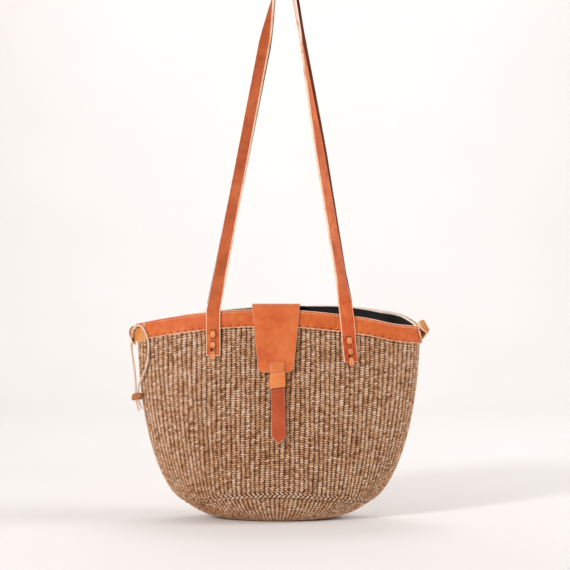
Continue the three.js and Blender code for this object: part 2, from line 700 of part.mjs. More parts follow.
const keeperTop = FLAP_END_Z - KEEPER_UNDER_FLAP;
const keeperFrame = {
  ...wallFrame(TONGUE_X, keeperTop - KEEPER_HEIGHT / 2, -1), across: new THREE.Vector3(1, 0, 0),
};
const keeperSide = TONGUE_WIDTH / 2 + SEAT_GAP + KEEPER / 2;

function keeper() {
  const front = tongueOffset(keeperTop) + TONGUE + 2 * SEAT_GAP + KEEPER / 2;
  const inside = -WALL - 1.5 * SEAT_GAP - KEEPER / 2;
  const clinch = keeperSide - KEEPER_CLINCH;
  const path = [
    [-clinch, inside], [-keeperSide, inside], [-keeperSide, front],
    [keeperSide, front], [keeperSide, inside], [clinch, inside],
  ];
  return meshOf('keeper', alongUp(keeperFrame, ribbonOutline(path, KEEPER), KEEPER_HEIGHT), 0xf09650, 0.55);
}

function keeperSlits() {
  return [-1, 1].map((way) => throughBox(
    keeperFrame, way * keeperSide, 0, KEEPER + 2 * SEAT_GAP, KEEPER_HEIGHT + 2 * SEAT_GAP,
  ));
}

// Side tabs and the side lace

const tabFootX = RIM_HALF_LENGTH + overBand;

function sideTab(name, way, reach, rise) {
  const half = TAB_HEIGHT / 2;
  const tip = TAB_TIP / 2;
  const shape = new THREE.Shape([
    [0, -half], [TAB_FLAT, -half], [reach - TAB_NOSE, -tip], [reach, 0],
    [reach - TAB_NOSE, tip], [TAB_FLAT, half], [0, half],
  ].map(([x, y]) => new THREE.Vector2(x, y)));
  const holeHalf = half - 1.3 * TAB;
  const holeTip = tip - TAB / 2;
  shape.holes.push(new THREE.Path([
    [TAB, holeHalf], [TAB_FLAT, holeHalf], [reach - TAB, holeTip],
    [reach - TAB, -holeTip], [TAB_FLAT, -holeHalf], [TAB, -holeHalf],
  ].map(([x, y]) => new THREE.Vector2(x, y))));
  const outward = new THREE.Vector3(way, 0, 0);
  const along = new THREE.Vector3(0, -way, 0);
  const matrix = new THREE.Matrix4().makeBasis(outward, UP, along);
  matrix.setPosition(way * tabFootX, way * TAB_WIDTH / 2, RIM_END_Z - BAND_HEIGHT / 2 + rise);
  return meshOf(name, extruded(shape, TAB_WIDTH, matrix), 0xc98a52, 0.6);
}

function sideLace() {
  const route = new THREE.CatmullRomCurve3(LACE_ROUTE.map((point) => new THREE.Vector3(...point)));
  const sides = 8;
  const section = new THREE.Shape(Array.from({ length: sides }, (_, i) => {
    const turn = 2 * HALF_TURN * i / sides;
    return new THREE.Vector2(Math.cos(turn), Math.sin(turn)).multiplyScalar(LACE_DIAMETER / 2);
  }));
  const steps = Math.round(route.getLength() / (2 * LACE_DIAMETER));
  const geometry = new THREE.ExtrudeGeometry(section, { steps, extrudePath: route, bevelEnabled: false });
  return meshOf('side_lace', merged(geometry), 0xebcdb5, 0.7);
}

function laceBead() {
  const stadium = (length, depth) => {
    const outline = new THREE.Path();
    const straight = (length - depth) / 2;
    outline.absarc(straight, 0, depth / 2, -HALF_TURN / 2, HALF_TURN / 2, false);
    outline.absarc(-straight, 0, depth / 2, HALF_TURN / 2, 1.5 * HALF_TURN, false);
    return outline.getPoints(6);
  };
  const shape = new THREE.Shape(stadium(BEAD_LENGTH, BEAD_DEPTH));
  shape.holes.push(new THREE.Path(stadium(BEAD_HOLE_LENGTH, BEAD_HOLE_DEPTH).reverse()));
  const matrix = new THREE.Matrix4().setPosition(BEAD_X, BEAD_Y, BEAD_Z - BEAD_HEIGHT / 2);
  return meshOf('lace_bead', extruded(shape, BEAD_HEIGHT, matrix), 0xb5684a, 0.6);
}

// The whole tote

const strapEnds = [
  strapEnd('front_strap_left_end', FRONT_LEFT_X, FRONT_LEFT_END_Z, -1, 0),
  strapEnd('front_strap_right_end', FRONT_RIGHT_X, FRONT_RIGHT_END_Z, -1, FRONT_RIGHT_LEAN),
  strapEnd('back_strap_left_end', BACK_LEFT_X, BACK_END_Z, 1, 0),
  strapEnd('back_strap_right_end', BACK_RIGHT_X, BACK_END_Z, 1, 0),
];
const wallCuts = [...strapEnds.flatMap((end) => end.holes), ...keeperSlits()];
const leftSeam = seamTurn(-1, BAND_SEAM_LEFT_INSET);
const rightSeam = seamTurn(1, BAND_SEAM_RIGHT_INSET);

const tote = new THREE.Group();
tote.add(
  basketWall(wallCuts),
  basketBase(),
  baseWale(),
  lining(),
  rimBand('rim_band_front', leftSeam, rightSeam),
  rimBand('rim_band_back', rightSeam - 2 * HALF_TURN, leftSeam),
  ...strapEnds.flatMap(({ end, lacing }) => [end, lacing]),
  strap('front_strap', -1, FRONT_LEFT_X, FRONT_RIGHT_X, FRONT_ARCH_RADIUS),
  strap('back_strap', 1, BACK_LEFT_X, BACK_RIGHT_X, BACK_ARCH_RADIUS),
  flapTail(),
  flap(),
  tongueRoot(),
  tongue(),
  keeper(),
  sideTab('side_tab_left', -1, TAB_LEFT_REACH, TAB_LEFT_RISE),
  sideTab('side_tab_right', 1, TAB_RIGHT_REACH, TAB_RIGHT_RISE),
  sideLace(),
  laceBead(),
);

export default tote;
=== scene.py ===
import math

import bpy
import numpy as np
from mathutils import Matrix, Vector


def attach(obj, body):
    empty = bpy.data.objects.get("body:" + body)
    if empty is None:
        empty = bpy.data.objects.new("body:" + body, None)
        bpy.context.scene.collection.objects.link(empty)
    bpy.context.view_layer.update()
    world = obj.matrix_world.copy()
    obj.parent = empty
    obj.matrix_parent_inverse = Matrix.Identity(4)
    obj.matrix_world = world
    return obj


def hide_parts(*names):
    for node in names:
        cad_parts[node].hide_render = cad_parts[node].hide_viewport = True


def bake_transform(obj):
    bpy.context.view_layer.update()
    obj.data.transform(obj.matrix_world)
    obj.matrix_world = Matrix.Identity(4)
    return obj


# A hand-twined sisal basket tote with leather trim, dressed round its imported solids. Sizes are in
# millimetres, with the front toward -Y, and places go into the meshes in metres.
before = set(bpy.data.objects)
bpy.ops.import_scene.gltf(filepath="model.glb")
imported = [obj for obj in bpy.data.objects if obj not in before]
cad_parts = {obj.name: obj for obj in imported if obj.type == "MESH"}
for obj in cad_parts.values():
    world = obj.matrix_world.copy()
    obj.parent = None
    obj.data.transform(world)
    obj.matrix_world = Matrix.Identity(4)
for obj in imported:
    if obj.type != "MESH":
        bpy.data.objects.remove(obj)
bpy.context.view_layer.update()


# Camera, light and floor: the camera is level, a little above the rim and straight in front. The main
# light stands to the upper left, with a weaker one to the right, and the floor runs up into a pale
# sweep behind, which has a light of its own.
def linear(code):
    """An sRGB hex colour as linear red, green, blue and alpha."""
    parts = [int(code[i:i + 2], 16) / 255 for i in (1, 3, 5)]
    return [p / 12.92 if p <= 0.04045 else ((p + 0.055) / 1.055) ** 2.4 for p in parts] + [1]


def feed(tree, node, inputs):
    """Gives a node's inputs values, or links them to other nodes' outputs."""
    for key, value in inputs.items():
        if isinstance(value, bpy.types.NodeSocket):
            tree.links.new(value, node.inputs[key])
        else:
            node.inputs[key].default_value = value


def add(tree, kind, inputs, ramp=(), **settings):
    """Adds a shader node with its settings and inputs. A colour ramp also gets its stops, with the first
    and the last one ahead of the others."""
    made = tree.nodes.new("ShaderNode" + kind)
    for name, value in settings.items():
        setattr(made, name, value)
    for i, (position, code) in enumerate(ramp):
        stop = made.color_ramp.elements[i] if i < 2 else made.color_ramp.elements.new(position)
        stop.position = position
        stop.color = linear(code)
    feed(tree, made, inputs)
    return made


def new_material(name):
    """An empty material with its shader and node tree."""
    made = bpy.data.materials.new(name)
    made.use_nodes = True
    return made, made.node_tree, made.node_tree.nodes["Principled BSDF"]


CAMERA_X, CAMERA_DISTANCE, CAMERA_HEIGHT = 0.0075, 1.9, 0.291
VIEW_WIDTH = 0.7125  # at the basket's middle
SENSOR = 36
bpy.ops.object.select_all(action="DESELECT")
camera_place = (CAMERA_X, -CAMERA_DISTANCE, CAMERA_HEIGHT)
bpy.ops.object.camera_add(location=camera_place, rotation=(math.pi / 2, 0, 0))
camera = bpy.context.object
camera.data.sensor_width = SENSOR
camera.data.lens = SENSOR * CAMERA_DISTANCE / VIEW_WIDTH
bpy.context.scene.camera = camera
bpy.context.scene.view_settings.view_transform = "Standard"

for name, place, goal, size, watts in (
        ("key_light", (-1.6, -1.75, 1.15), (0, 0, 0.2), 0.5, 35),
        ("fill_light", (2.2, -0.2, 1.2), (0, 0, 0.4), 1.0, 24),
        ("sweep_light", (0, 1.0, 2.3), (0, 2.4, 0.45), 1.6, 19)):
    bpy.ops.object.light_add(type="AREA", location=place)
    lamp = bpy.context.object
    lamp.name = name
    lamp.data.shape = "DISK"
    lamp.data.size = size
    lamp.data.energy = watts
    lamp.rotation_euler = (Vector(goal) - Vector(place)).to_track_quat("-Z", "Y").to_euler()

world = bpy.data.worlds.new("soft_studio")
bpy.context.scene.world = world
world.use_nodes = True
background = world.node_tree.nodes["Background"]
feed(world.node_tree, background, {"Color": linear("#FFF9F5"), "Strength": 0.45})

SWEEP_START, SWEEP_RADIUS, SWEEP_TOP = 1.6, 1.0, 9
FLOOR_FRONT, FLOOR_WIDTH, FLOOR_ROWS = -8, 16, 24
bpy.ops.mesh.primitive_grid_add(x_subdivisions=1, y_subdivisions=FLOOR_ROWS, size=1)
floor = bpy.context.object
floor.name = "floor_sweep"
for i, vertex in enumerate(floor.data.vertices):
    row = i // 2
    side = (i % 2 - 0.5) * FLOOR_WIDTH
    if row == 0:
        vertex.co = (side, FLOOR_FRONT, 0)
    elif row < FLOOR_ROWS:
        turn = (row - 1) / (FLOOR_ROWS - 2) * math.pi / 2
        place = SWEEP_START + SWEEP_RADIUS * math.sin(turn)
        vertex.co = (side, place, SWEEP_RADIUS * (1 - math.cos(turn)))
    else:
        vertex.co = (side, SWEEP_START + SWEEP_RADIUS, SWEEP_TOP)
bpy.ops.object.shade_smooth()
paper, tree, shader = new_material("matt_paper_sweep")
place = add(tree, "TexCoord", {})
mottle = add(tree, "TexNoise", {"Vector": place.outputs["Object"], "Scale": 3.0, "Detail": 3.0})
tone = add(tree, "ValToRGB", {"Fac": mottle.outputs["Fac"]}, ((0, "#F4F1F0"), (1, "#F9F7F6")))
feed(tree, shader, {"Base Color": tone.outputs["Color"], "Roughness": 0.9})
floor.data.materials.append(paper)


# Basket wall: about 126 upright ribs of sisal cord, packed over with rows of twined sisal thread, so
# that each rib shows as a column of small slanted stitches with dark gaps between the columns.
MM = 0.001  # in metres
RIBS, ROWS = 126, 80
BAND_ROWS = 7  # rows that the rim band hides
STITCH_SLANT = 0.8  # rows that a stitch climbs across its rib
WALL = 4.0
GAP_DEPTH, RELIEF = 1.5, 1.75  # how deep the gaps lie, and how high the stitches stand over them
# Half lengths and half depths, at the rim and at the ridge, whose middle lies a little to the left
RIM_LENGTH, RIM_DEPTH = 176.5, 46.0
RIDGE_LENGTH, RIDGE_DEPTH, BASE_SHIFT = 115.0, 53.0, -2.0
BULGE = 11.0  # of the broad sides
UPRIGHT_LENGTH = 168  # half length at which the ribs stand upright


def rim_height(turn):
    """Height of the woven rim, from the right end (turn 0) round by the back. It rises to the middle of
    each broad side, and near the right end it sags in front and stands up behind."""
    c = np.cos(turn)
    sag = 2.2 * np.exp(-((c - 0.8) / 0.13) ** 2)
    front = (20.3 - 3.2 * c) * (1 - np.abs(c) ** 1.75) - sag
    hump = 3.0 * np.exp(-((c - 0.9) / 0.13) ** 2) * (1 - c ** 30)
    back = (23 + 4.5 * c) * (1 - np.abs(c) ** np.where(c > 0, 4, 2)) + hump
    return 240.7 - 1.7 * c + np.where(np.sin(turn) > 0, back, front)


def ridge_height(turn):
    """Height of the ridge where the wall meets the rounded base."""
    return 22 + 14.5 * np.sin(turn) ** 2


def wall_length(share):
    """Half length of the wall at a share of its height."""
    return RIDGE_LENGTH + (RIM_LENGTH - RIDGE_LENGTH) * (1 - (1 - share ** 0.66) ** 1.9)


def wall_oval(turn, z):
    """Half length, half depth and middle of the wall's outline at a height."""
    low = ridge_height(turn)
    share = np.clip((z - low) / (rim_height(turn) - low), 0, 1)
    depth = RIDGE_DEPTH - (RIDGE_DEPTH - RIM_DEPTH) * share + BULGE * np.sin(math.pi * share ** 0.66)
    return wall_length(share), depth, BASE_SHIFT * (1 - share)


def wall_place(turn, z, out):
    """A point on the wall's outside, or off it by out."""
    length, depth, middle = wall_oval(turn, z)
    x = middle + (length + out) * np.cos(turn)
    return np.stack([x, (depth + out) * np.sin(turn), z + 0 * turn], -1)


def distance_along(lines):
    """Distance along each line of places, from 0 at its start."""
    run = np.cumsum(np.linalg.norm(np.diff(lines, axis=-2), axis=-1), axis=-1)
    return np.concatenate([np.zeros(run.shape[:-1] + (1,)), run], axis=-1)


def even_turns(count):
    """Turns that are evenly far apart round the wall's middle, with the first one again at the end."""
    fine = np.linspace(0, 2 * math.pi, 4001)
    run = distance_along(wall_place(fine, (rim_height(fine) + ridge_height(fine)) / 2, 0))
    return np.interp(np.arange(count + 1) / count * run[-1], run, fine)


def even_shares(rows, count, shares, lines):
    """Shares at which rows, out of a count of them, lie evenly far apart along each rib's line."""
    runs = distance_along(lines)
    return np.stack([np.interp(rows[:, k] / count * run[-1], run, shares) for k, run in enumerate(runs)], 1)


def gathered(turn, share):
    """Turn of a rib lower down: the ribs stay upright on the broad sides, so they crowd at the ends."""
    crowd = UPRIGHT_LENGTH / wall_length(share)
    c = np.cos(turn)
    c = np.arccos(np.clip(c * (crowd + (1 - crowd) * np.abs(c) ** 1.6), -1, 1))
    return np.where(turn > math.pi, 2 * math.pi - c, c)


def chance(*whole):
    """A fixed number from 0 to 1 for whole-number places, the same on each run."""
    mixed = np.sin(sum(w * k for w, k in zip(whole, (12.9898, 78.233)))) * 43758.5453
    return mixed - np.floor(mixed)


def twining(rib, mark):
    """Height of the twined surface, from 0 in the gaps to 1, the stitch's tone, and how far a place is
    moved up, in rows. Each stitch is a slanted grain over one rib, and marks count them up the rib."""
    stem, line = np.floor(rib + 1e-6), np.floor(mark + 1e-6)
    across, up = rib - stem - 0.5, mark - line - 0.5
    stem = np.mod(stem, RIBS)
    reach = 0.47 + 0.17 * chance(stem + 31, line)
    fat = 0.5 + 0.08 * chance(line, stem + 57)
    inside = 1 - (across / reach) ** 2 - (up / fat) ** 2
    lean = np.where(np.abs(across) < 0.45, STITCH_SLANT * across, 0)
    round_turn = 2 * math.pi * rib / RIBS
    wander = 0.3 * np.sin(8 * round_turn) + 0.14 * np.sin(40 * round_turn + 0.23 * mark)
    tone = 0.45 * chance(stem, line) + 0.55 * chance(2 * stem + (across > 0), line + 211)
    return np.sqrt(np.maximum(inside, 0)), tone, lean + wander


def lay_grid(name, places, wrap_uv=None):
    """A grid primitive whose rows are laid along the given places, in millimetres."""
    rows, columns = places.shape[:2]
    bpy.ops.object.select_all(action="DESELECT")
    bpy.ops.mesh.primitive_grid_add(x_subdivisions=columns - 1, y_subdivisions=rows - 1, size=1)
    made = bpy.context.object
    made.name = name
    made.data.name = name
    made.data.vertices.foreach_set("co", (places * MM).astype(np.float32).ravel())
    if wrap_uv is not None:
        corner = np.zeros(len(made.data.loops), np.int32)
        made.data.loops.foreach_get("vertex_index", corner)
        flat = wrap_uv.reshape(-1, 2)[corner]
        made.data.uv_layers[0].data.foreach_set("uv", flat.astype(np.float32).ravel())
    made.data.update()
    return made


def note(made, name, values):
    """Keeps a number for each point of a mesh, for its material to read."""
    kept = made.data.attributes.new(name, "FLOAT", "POINT")
    kept.data.foreach_set("value", values.astype(np.float32).ravel())


def merge(outward):
    """Merges the places where the new grid meets itself, and may turn its faces outward."""
    bpy.ops.object.mode_set(mode="EDIT")
    bpy.ops.mesh.select_all(action="SELECT")
    bpy.ops.mesh.remove_doubles(threshold=2e-6)
    if outward:
        bpy.ops.mesh.normals_make_consistent(inside=False)
    bpy.ops.object.mode_set(mode="OBJECT")


def close_up(angle):
    """Closes the new grid where it meets itself, with its faces outward, and smooths it."""
    merge(outward=True)
    bpy.ops.object.shade_smooth_by_angle(angle=math.radians(angle))


# Sisal: dull, dry plant fibre. Each stitch has its own tone from khaki to grey brown, and fine streaks run
# along it. The gaps between stitches are painted dark, as painted shade in the recesses. The tone drifts
# over the basket with the bundles of fibre, 70 mm wide.
sisal, tree, shader = new_material("twined_sisal")
place = add(tree, "TexCoord", {})
bundle = add(tree, "TexNoise", {"Vector": place.outputs["Object"], "Scale": 14.0, "Detail": 3.0})
stitch = add(tree, "Attribute", {}, attribute_name="stitch_tone")
depth = add(tree, "Attribute", {}, attribute_name="stitch_height")
# UV holds ribs across and rows up; streaks are a fifth of a row wide and over half a rib long
stretched = add(tree, "Mapping", {"Vector": place.outputs["UV"], "Scale": (RIBS * 1.6, ROWS * 5.0, 1)})
streak = add(tree, "TexNoise", {"Vector": stretched.outputs["Vector"], "Scale": 1.0, "Detail": 3.0})
part = add(tree, "Math", {0: stitch.outputs["Fac"], 1: 0.7}, operation="MULTIPLY")
for pattern, weight in ((bundle, 0.22), (streak, 0.4)):
    part = add(tree, "Math", {0: pattern.outputs["Fac"], 1: weight, 2: part.outputs[0]},
               operation="MULTIPLY_ADD")
part = add(tree, "Math", {0: part.outputs[0], 1: 0.15}, operation="SUBTRACT")
fibre = add(tree, "ValToRGB", {"Fac": part.outputs[0]},
            ((0.12, "#85502B"), (0.92, "#F7DDC5"), (0.48, "#D3A177")))
# Painted shade: the colour is multiplied darker where a point's stitch height is low, in the gaps and on the
# low sides of stitches
gap_shade = add(tree, "ValToRGB", {"Fac": depth.outputs["Fac"]}, ((0.16, "#57290E"), (0.84, "#FFFFFF")))
mixed = add(tree, "Mix", {"Factor": 1.0, "A": fibre.outputs["Color"], "B": gap_shade.outputs["Color"]},
            data_type="RGBA", blend_type="MULTIPLY")
raised = add(tree, "Bump", {"Height": streak.outputs["Fac"], "Strength": 0.35, "Distance": 0.0004})
feed(tree, shader, {"Base Color": mixed.outputs["Result"], "Normal": raised.outputs["Normal"],
                    "Roughness": 0.8, "Specular IOR Level": 0.25})


def sisal_piece(name, places, height, tone, angle, uv=None):
    """A closed piece of sisal, with each point's height on its stitch, which also sets its painted shade,
    and the stitch's tone.
    """
    made = lay_grid(name, places, uv)
    note(made, "stitch_height", height)
    note(made, "stitch_tone", tone)
    close_up(angle)
    made.data.materials.append(sisal)
    return made


COLUMN_STEPS, ROW_STEPS = 5, 4
column_turn = even_turns(RIBS * COLUMN_STEPS)
column_rib = np.arange(RIBS * COLUMN_STEPS + 1) / COLUMN_STEPS
open_rows = ROWS - BAND_ROWS
row_marks = np.concatenate([np.arange(0, open_rows, 1 / ROW_STEPS), np.arange(open_rows, ROWS + 1)])
wall_rib, wall_mark = np.meshgrid(column_rib, row_marks)
weave, weave_tone, weave_move = twining(wall_rib, wall_mark)
inland = np.clip(wall_mark / 3, 0, 1) * np.clip((open_rows - wall_mark) / 3, 0, 1)
wall_row = wall_mark + weave_move * inland
sway = 0.09 * np.sin(46 * math.pi * wall_rib / RIBS + 0.19 * wall_mark)
rim_turn = np.interp(wall_rib + sway * inland, column_rib, column_turn)
trial = np.linspace(0, 1, 161)
trial_turn = np.repeat(column_turn[:, None], len(trial), 1)
trial_low, trial_high = ridge_height(trial_turn), rim_height(trial_turn)
trial_lines = wall_place(trial_turn, trial_low + trial * (trial_high - trial_low), 0)
row_share = even_shares(wall_row, ROWS, trial, trial_lines)
wall_turn = gathered(rim_turn, row_share)
wall_z = ridge_height(wall_turn) + row_share * (rim_height(wall_turn) - ridge_height(wall_turn))
weave_out = np.where(wall_mark < open_rows + 0.5, -GAP_DEPTH + RELIEF * weave, -0.5)
outer_wall = wall_place(wall_turn, wall_z, weave_out)
inner_wall = wall_place(wall_turn, wall_z, np.full_like(wall_z, -WALL))

# Three rings, each of which is closed by the wall's inside
cut_rows = [0] + [int(np.argmin(abs(row_marks - mark))) for mark in (23, 46)] + [len(row_marks) - 1]
ring_names = ("basket_wall_low", "basket_wall_middle", "basket_wall_top")
wall_uv = np.stack([wall_rib / RIBS, wall_mark / ROWS], -1)
for name, low, high in zip(ring_names, cut_rows, cut_rows[1:]):
    rows = list(range(low, high + 1))
    closed = rows + [high, low, low]
    places = np.concatenate([outer_wall[rows], inner_wall[[high, low]], outer_wall[[low]]])
    ring = sisal_piece(name, places, weave[closed], weave_tone[closed], 75, wall_uv[closed])
    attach(ring, "bag")
    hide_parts("basket_wall")


# Base: the ribs start at the middle of the bottom and fan out to the ridge, twined over in rounds.
# It is rounded, and stands on the flat in its middle.
BASE_ROUNDS = 30
BASE_RELIEF = 1.3
FLAT_LENGTH, FLAT_DEPTH = 50, 25


def bezier(a, b, c, d, share):
    """A place on a Bezier curve from a to d."""
    rest = 1 - share
    return a * rest ** 3 + 3 * b * rest * rest * share + 3 * c * rest * share * share + d * share ** 3


def base_place(turn, share, inward):
    """A point of the base's skin, from the ridge (0) to the flat's edge (1) and its middle (2)."""
    curve, flat = np.clip(share, 0, 1), np.clip(share - 1, 0, 1)
    ridge = ridge_height(turn)
    length = bezier(RIDGE_LENGTH - inward, 105 - inward, 80 - inward / 2, FLAT_LENGTH, curve) * (1 - flat)
    depth = bezier(RIDGE_DEPTH - inward, 50 - inward, 40 - inward / 2, FLAT_DEPTH, curve) * (1 - flat)
    z = bezier(ridge, (ridge + inward) / 2, inward, inward, curve)
    return np.stack([BASE_SHIFT + length * np.cos(turn), depth * np.sin(turn), z], -1)


base_turn = gathered(column_turn, 0.0)
round_marks = np.arange(0, BASE_ROUNDS + 0.1, 1 / ROW_STEPS)
trial = np.linspace(0, 2, 161)
trial_share, trial_turn = np.meshgrid(trial, base_turn)
base_turns = np.repeat(base_turn[None], len(round_marks), 0)
base_ribs, base_rows = np.meshgrid(column_rib, round_marks)
base_weave, base_tone, base_move = twining(base_ribs, ROWS + base_rows)
inland = np.clip(base_rows / 3, 0, 1) * np.clip((BASE_ROUNDS - base_rows) / 9, 0, 1)
shifted = base_rows - base_move * inland
base_share = even_shares(shifted, BASE_ROUNDS, trial, base_place(trial_turn, trial_share, 0))
narrow = np.clip((1.9 - base_share) / 0.7, 0, 1)
base_weave = base_weave * narrow + (0.55 + 0.45 * np.sin(math.pi * (base_rows % 1))) * (1 - narrow)
base_skin = base_place(base_turns, base_share, 0)
step = 1e-3
before, after = (base_place(base_turns, np.clip(base_share + s, 0, 2), 0) for s in (-step, step))
lean = after - before
turned = base_place(base_turns + step, base_share, 0) - base_place(base_turns - step, base_share, 0)
base_normal = np.cross(lean, turned)
size = np.linalg.norm(base_normal, axis=2, keepdims=True)
base_normal = np.where(size > 1e-9, base_normal / np.maximum(size, 1e-9), np.array([0, 0, -1.0]))
base_normal = np.where(base_normal[..., 2:] > 0, -base_normal, base_normal)
base_skin = base_skin + base_normal * (-BASE_RELIEF + BASE_RELIEF * base_weave)[..., None]
base_skin[-1] = base_skin[-1].mean(0)
base_skin[..., 2] = np.maximum(base_skin[..., 2], 0)
inner_shares = (2.0, 1.0, 0.75, 0.5, 0.25, 0.0)
inner_base = np.stack([base_place(base_turn, np.full_like(base_turn, s), WALL) for s in inner_shares])
places = np.concatenate([base_skin, inner_base, base_skin[:1]])
base_uv = np.stack([base_ribs / RIBS, base_rows / ROWS], -1)
closed = list(range(len(base_skin))) + [0] * (len(inner_shares) + 1)
base = sisal_piece("basket_base_woven", places, base_weave[closed], base_tone[closed], 75, base_uv[closed])
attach(base, "bag")
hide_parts("basket_base")


# Wale: a heavier round of two reversed twines at the ridge, which lie as a chain of small V stitches
# over a cord. It stiffens the corner between wall and base.
WALE_STITCHES = 92
WALE_SLOPE = math.radians(36)
END_DROP, SIDE_DROP = 0.7, 0.14  # how far the wale faces down, at the ends and on the broad sides
CORD_RADIUS = 1.5
STITCH_HALF = (3.7, 1.35, 1.2)  # half length, width and height
wale_turn = even_turns(WALE_STITCHES * 2)
broad = np.sin(wale_turn)[:, None] ** 2
drop = END_DROP + (SIDE_DROP - END_DROP) * broad
sideways = np.sqrt(1 - drop * drop)
flat = np.stack([np.cos(wale_turn) / RIDGE_LENGTH, np.sin(wale_turn) / RIDGE_DEPTH, 0 * wale_turn], -1)
flat /= np.linalg.norm(flat, axis=-1, keepdims=True)
up = np.array([0, 0, 1.0])
# Directions out of the wale, up over it and along it, and its middle
out = flat * sideways - up * drop
over = flat * drop + up * sideways
along = np.cross(over, out)
middle = base_place(wale_turn, 0 * wale_turn, 0) + out * (-0.9 + 2.2 * broad)
section = np.linspace(0, 2 * math.pi, 11)
core = np.stack([middle + CORD_RADIUS * (out * math.cos(t) + over * 1.15 * math.sin(t)) for t in section])
even = np.ones(core.shape[:2])
# The cord's low stitch height gives it the painted shade of the gaps
wale_core = sisal_piece("wale_cord", core, 0.1 * even, 0.4 * even, 60)
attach(wale_core, "bag")
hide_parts("base_wale")


def grain(half_length, half_width, half_height, sides):
    """A grain-shaped stitch that lies along X."""
    bpy.ops.object.select_all(action="DESELECT")
    bpy.ops.mesh.primitive_uv_sphere_add(segments=sides, ring_count=6, radius=1)
    made = bpy.context.object
    bpy.ops.object.mode_set(mode="EDIT")
    bpy.ops.mesh.select_all(action="SELECT")
    bpy.ops.transform.rotate(value=math.pi / 2, orient_axis="Y", center_override=(0, 0, 0))
    half = (half_length * MM, half_width * MM, half_height * MM)
    bpy.ops.transform.resize(value=half, center_override=(0, 0, 0))
    bpy.ops.object.mode_set(mode="OBJECT")
    return made


def join(pieces):
    """Makes one object of several."""
    bpy.ops.object.select_all(action="DESELECT")
    for one in pieces:
        one.select_set(True)
    bpy.context.view_layer.objects.active = pieces[0]
    bpy.ops.object.join()
    return bpy.context.object


def copies(name, model, matrices, tones=()):
    """Copies of one modelled piece, each with its own mesh, joined into one piece; the model goes. The
    copies may have tones of their own."""
    made = []
    for k, matrix in enumerate(matrices):
        one = model.copy()
        one.data = model.data.copy()
        one.data.transform(matrix)
        if tones:
            note(one, "stitch_tone", np.full(len(one.data.vertices), tones[k]))
        bpy.context.scene.collection.objects.link(one)
        made.append(one)
    bpy.data.objects.remove(model)
    joined = join(made)
    joined.name = name
    joined.data.name = name
    bpy.ops.object.shade_smooth()
    return joined


def standing(place, along, up):
    """A matrix whose X runs along, whose Z stands up from a surface, at a place in millimetres."""
    x = Vector(along).normalized()
    z = Vector(up)
    z = (z - x * z.dot(x)).normalized()
    y = z.cross(x)
    return Matrix.Translation(Vector(place) * MM) @ Matrix((x, y, z)).transposed().to_4x4()


wale_stitch = grain(*STITCH_HALF, 8)
strand_up = np.array([v.co.z for v in wale_stitch.data.vertices]) / (STITCH_HALF[2] * MM)
# The grain's lower side gets a low stitch height, and so the painted shade of the gaps
note(wale_stitch, "stitch_height", np.clip(0.1 + 0.85 * strand_up, 0, 1))
matrices, tones = [], []
for k in range(WALE_STITCHES):
    for way, shift in ((1, 0), (-1, 1)):
        i = 2 * k + shift
        run = along[i] * math.cos(WALE_SLOPE) - over[i] * (way * math.sin(WALE_SLOPE))
        matrices.append(standing(middle[i] + over[i] * 1.6 * way + out[i] * 0.9, run, out[i]))
        tones.append(0.4 + 0.4 * float(chance(float(k), 3.0 + way)))
chain = copies("wale_chain", wale_stitch, matrices, tones)
chain.data.materials.append(sisal)
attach(chain, "bag")
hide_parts("base_wale")


# Lining: a plain black cotton bag, sewn in under the rim and hanging a little slack inside the wall, so
# that it lies in shallow upright folds.
LINING_COLUMNS, LINING_ROWS = 240, 44
LINING = 0.8
FOLDS = 23  # round the bag
black_cotton, tree, shader = new_material("black_cotton")
place = add(tree, "TexCoord", {})
# Threads 0.6 mm apart, as coarse as they have to be to show
weft = add(tree, "TexWave", {"Vector": place.outputs["Object"], "Scale": 520.0, "Distortion": 0.6},
           bands_direction="Z")
dust = add(tree, "TexNoise", {"Vector": place.outputs["Object"], "Scale": 60.0, "Detail": 4.0})
tone = add(tree, "ValToRGB", {"Fac": dust.outputs["Fac"]}, ((0, "#110E0C"), (1, "#221D1A")))
raised = add(tree, "Bump", {"Height": weft.outputs["Fac"], "Strength": 0.2, "Distance": 0.0002})
feed(tree, shader, {"Base Color": tone.outputs["Color"], "Normal": raised.outputs["Normal"],
                    "Roughness": 0.85, "Sheen Weight": 0.15})

lining_turn = even_turns(LINING_COLUMNS)
rows = []
for share in np.linspace(1, 0.02, LINING_ROWS):
    low, high = ridge_height(lining_turn), rim_height(lining_turn) - 0.9
    hang = min(1.0, (1 - share) * 5)
    folds = 0.5 + 0.5 * np.sin(lining_turn * FOLDS + 3 * share + 2 * np.sin(lining_turn * 5))
    slack = 0.8 + hang * (1.2 + 2.0 * folds * math.sin(math.pi * min(1, share * 1.1)))
    rows.append(wall_place(lining_turn, low + share * (high - low), -(WALL + slack)))
for share in np.linspace(0.08, 2, 18):
    rows.append(base_place(lining_turn, np.full_like(lining_turn, share), WALL + 1.1))
lining = lay_grid("lining_cloth", np.stack(rows))
thick = lining.modifiers.new("cloth", "SOLIDIFY")
thick.thickness = LINING * MM
thick.offset = 0
merge(outward=False)
bpy.ops.object.modifier_apply(modifier="cloth")
bpy.ops.object.shade_smooth_by_angle(angle=math.radians(60))
lining.data.materials.append(black_cotton)
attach(lining, "bag")
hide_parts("lining")


# Rim bands: two strips of orange-tan vegetable-tanned leather, sewn round the outside of the rim. The
# cut edges are raw and pale. They meet in a seam at each end of the basket.
BAND, BAND_HEIGHT, BAND_RISE = 2.0, 21.0, 0.5
BAND_GAP = 0.36
OVER_BAND = BAND_GAP + BAND + 0.3
PUCKERS = 101.2  # per radian


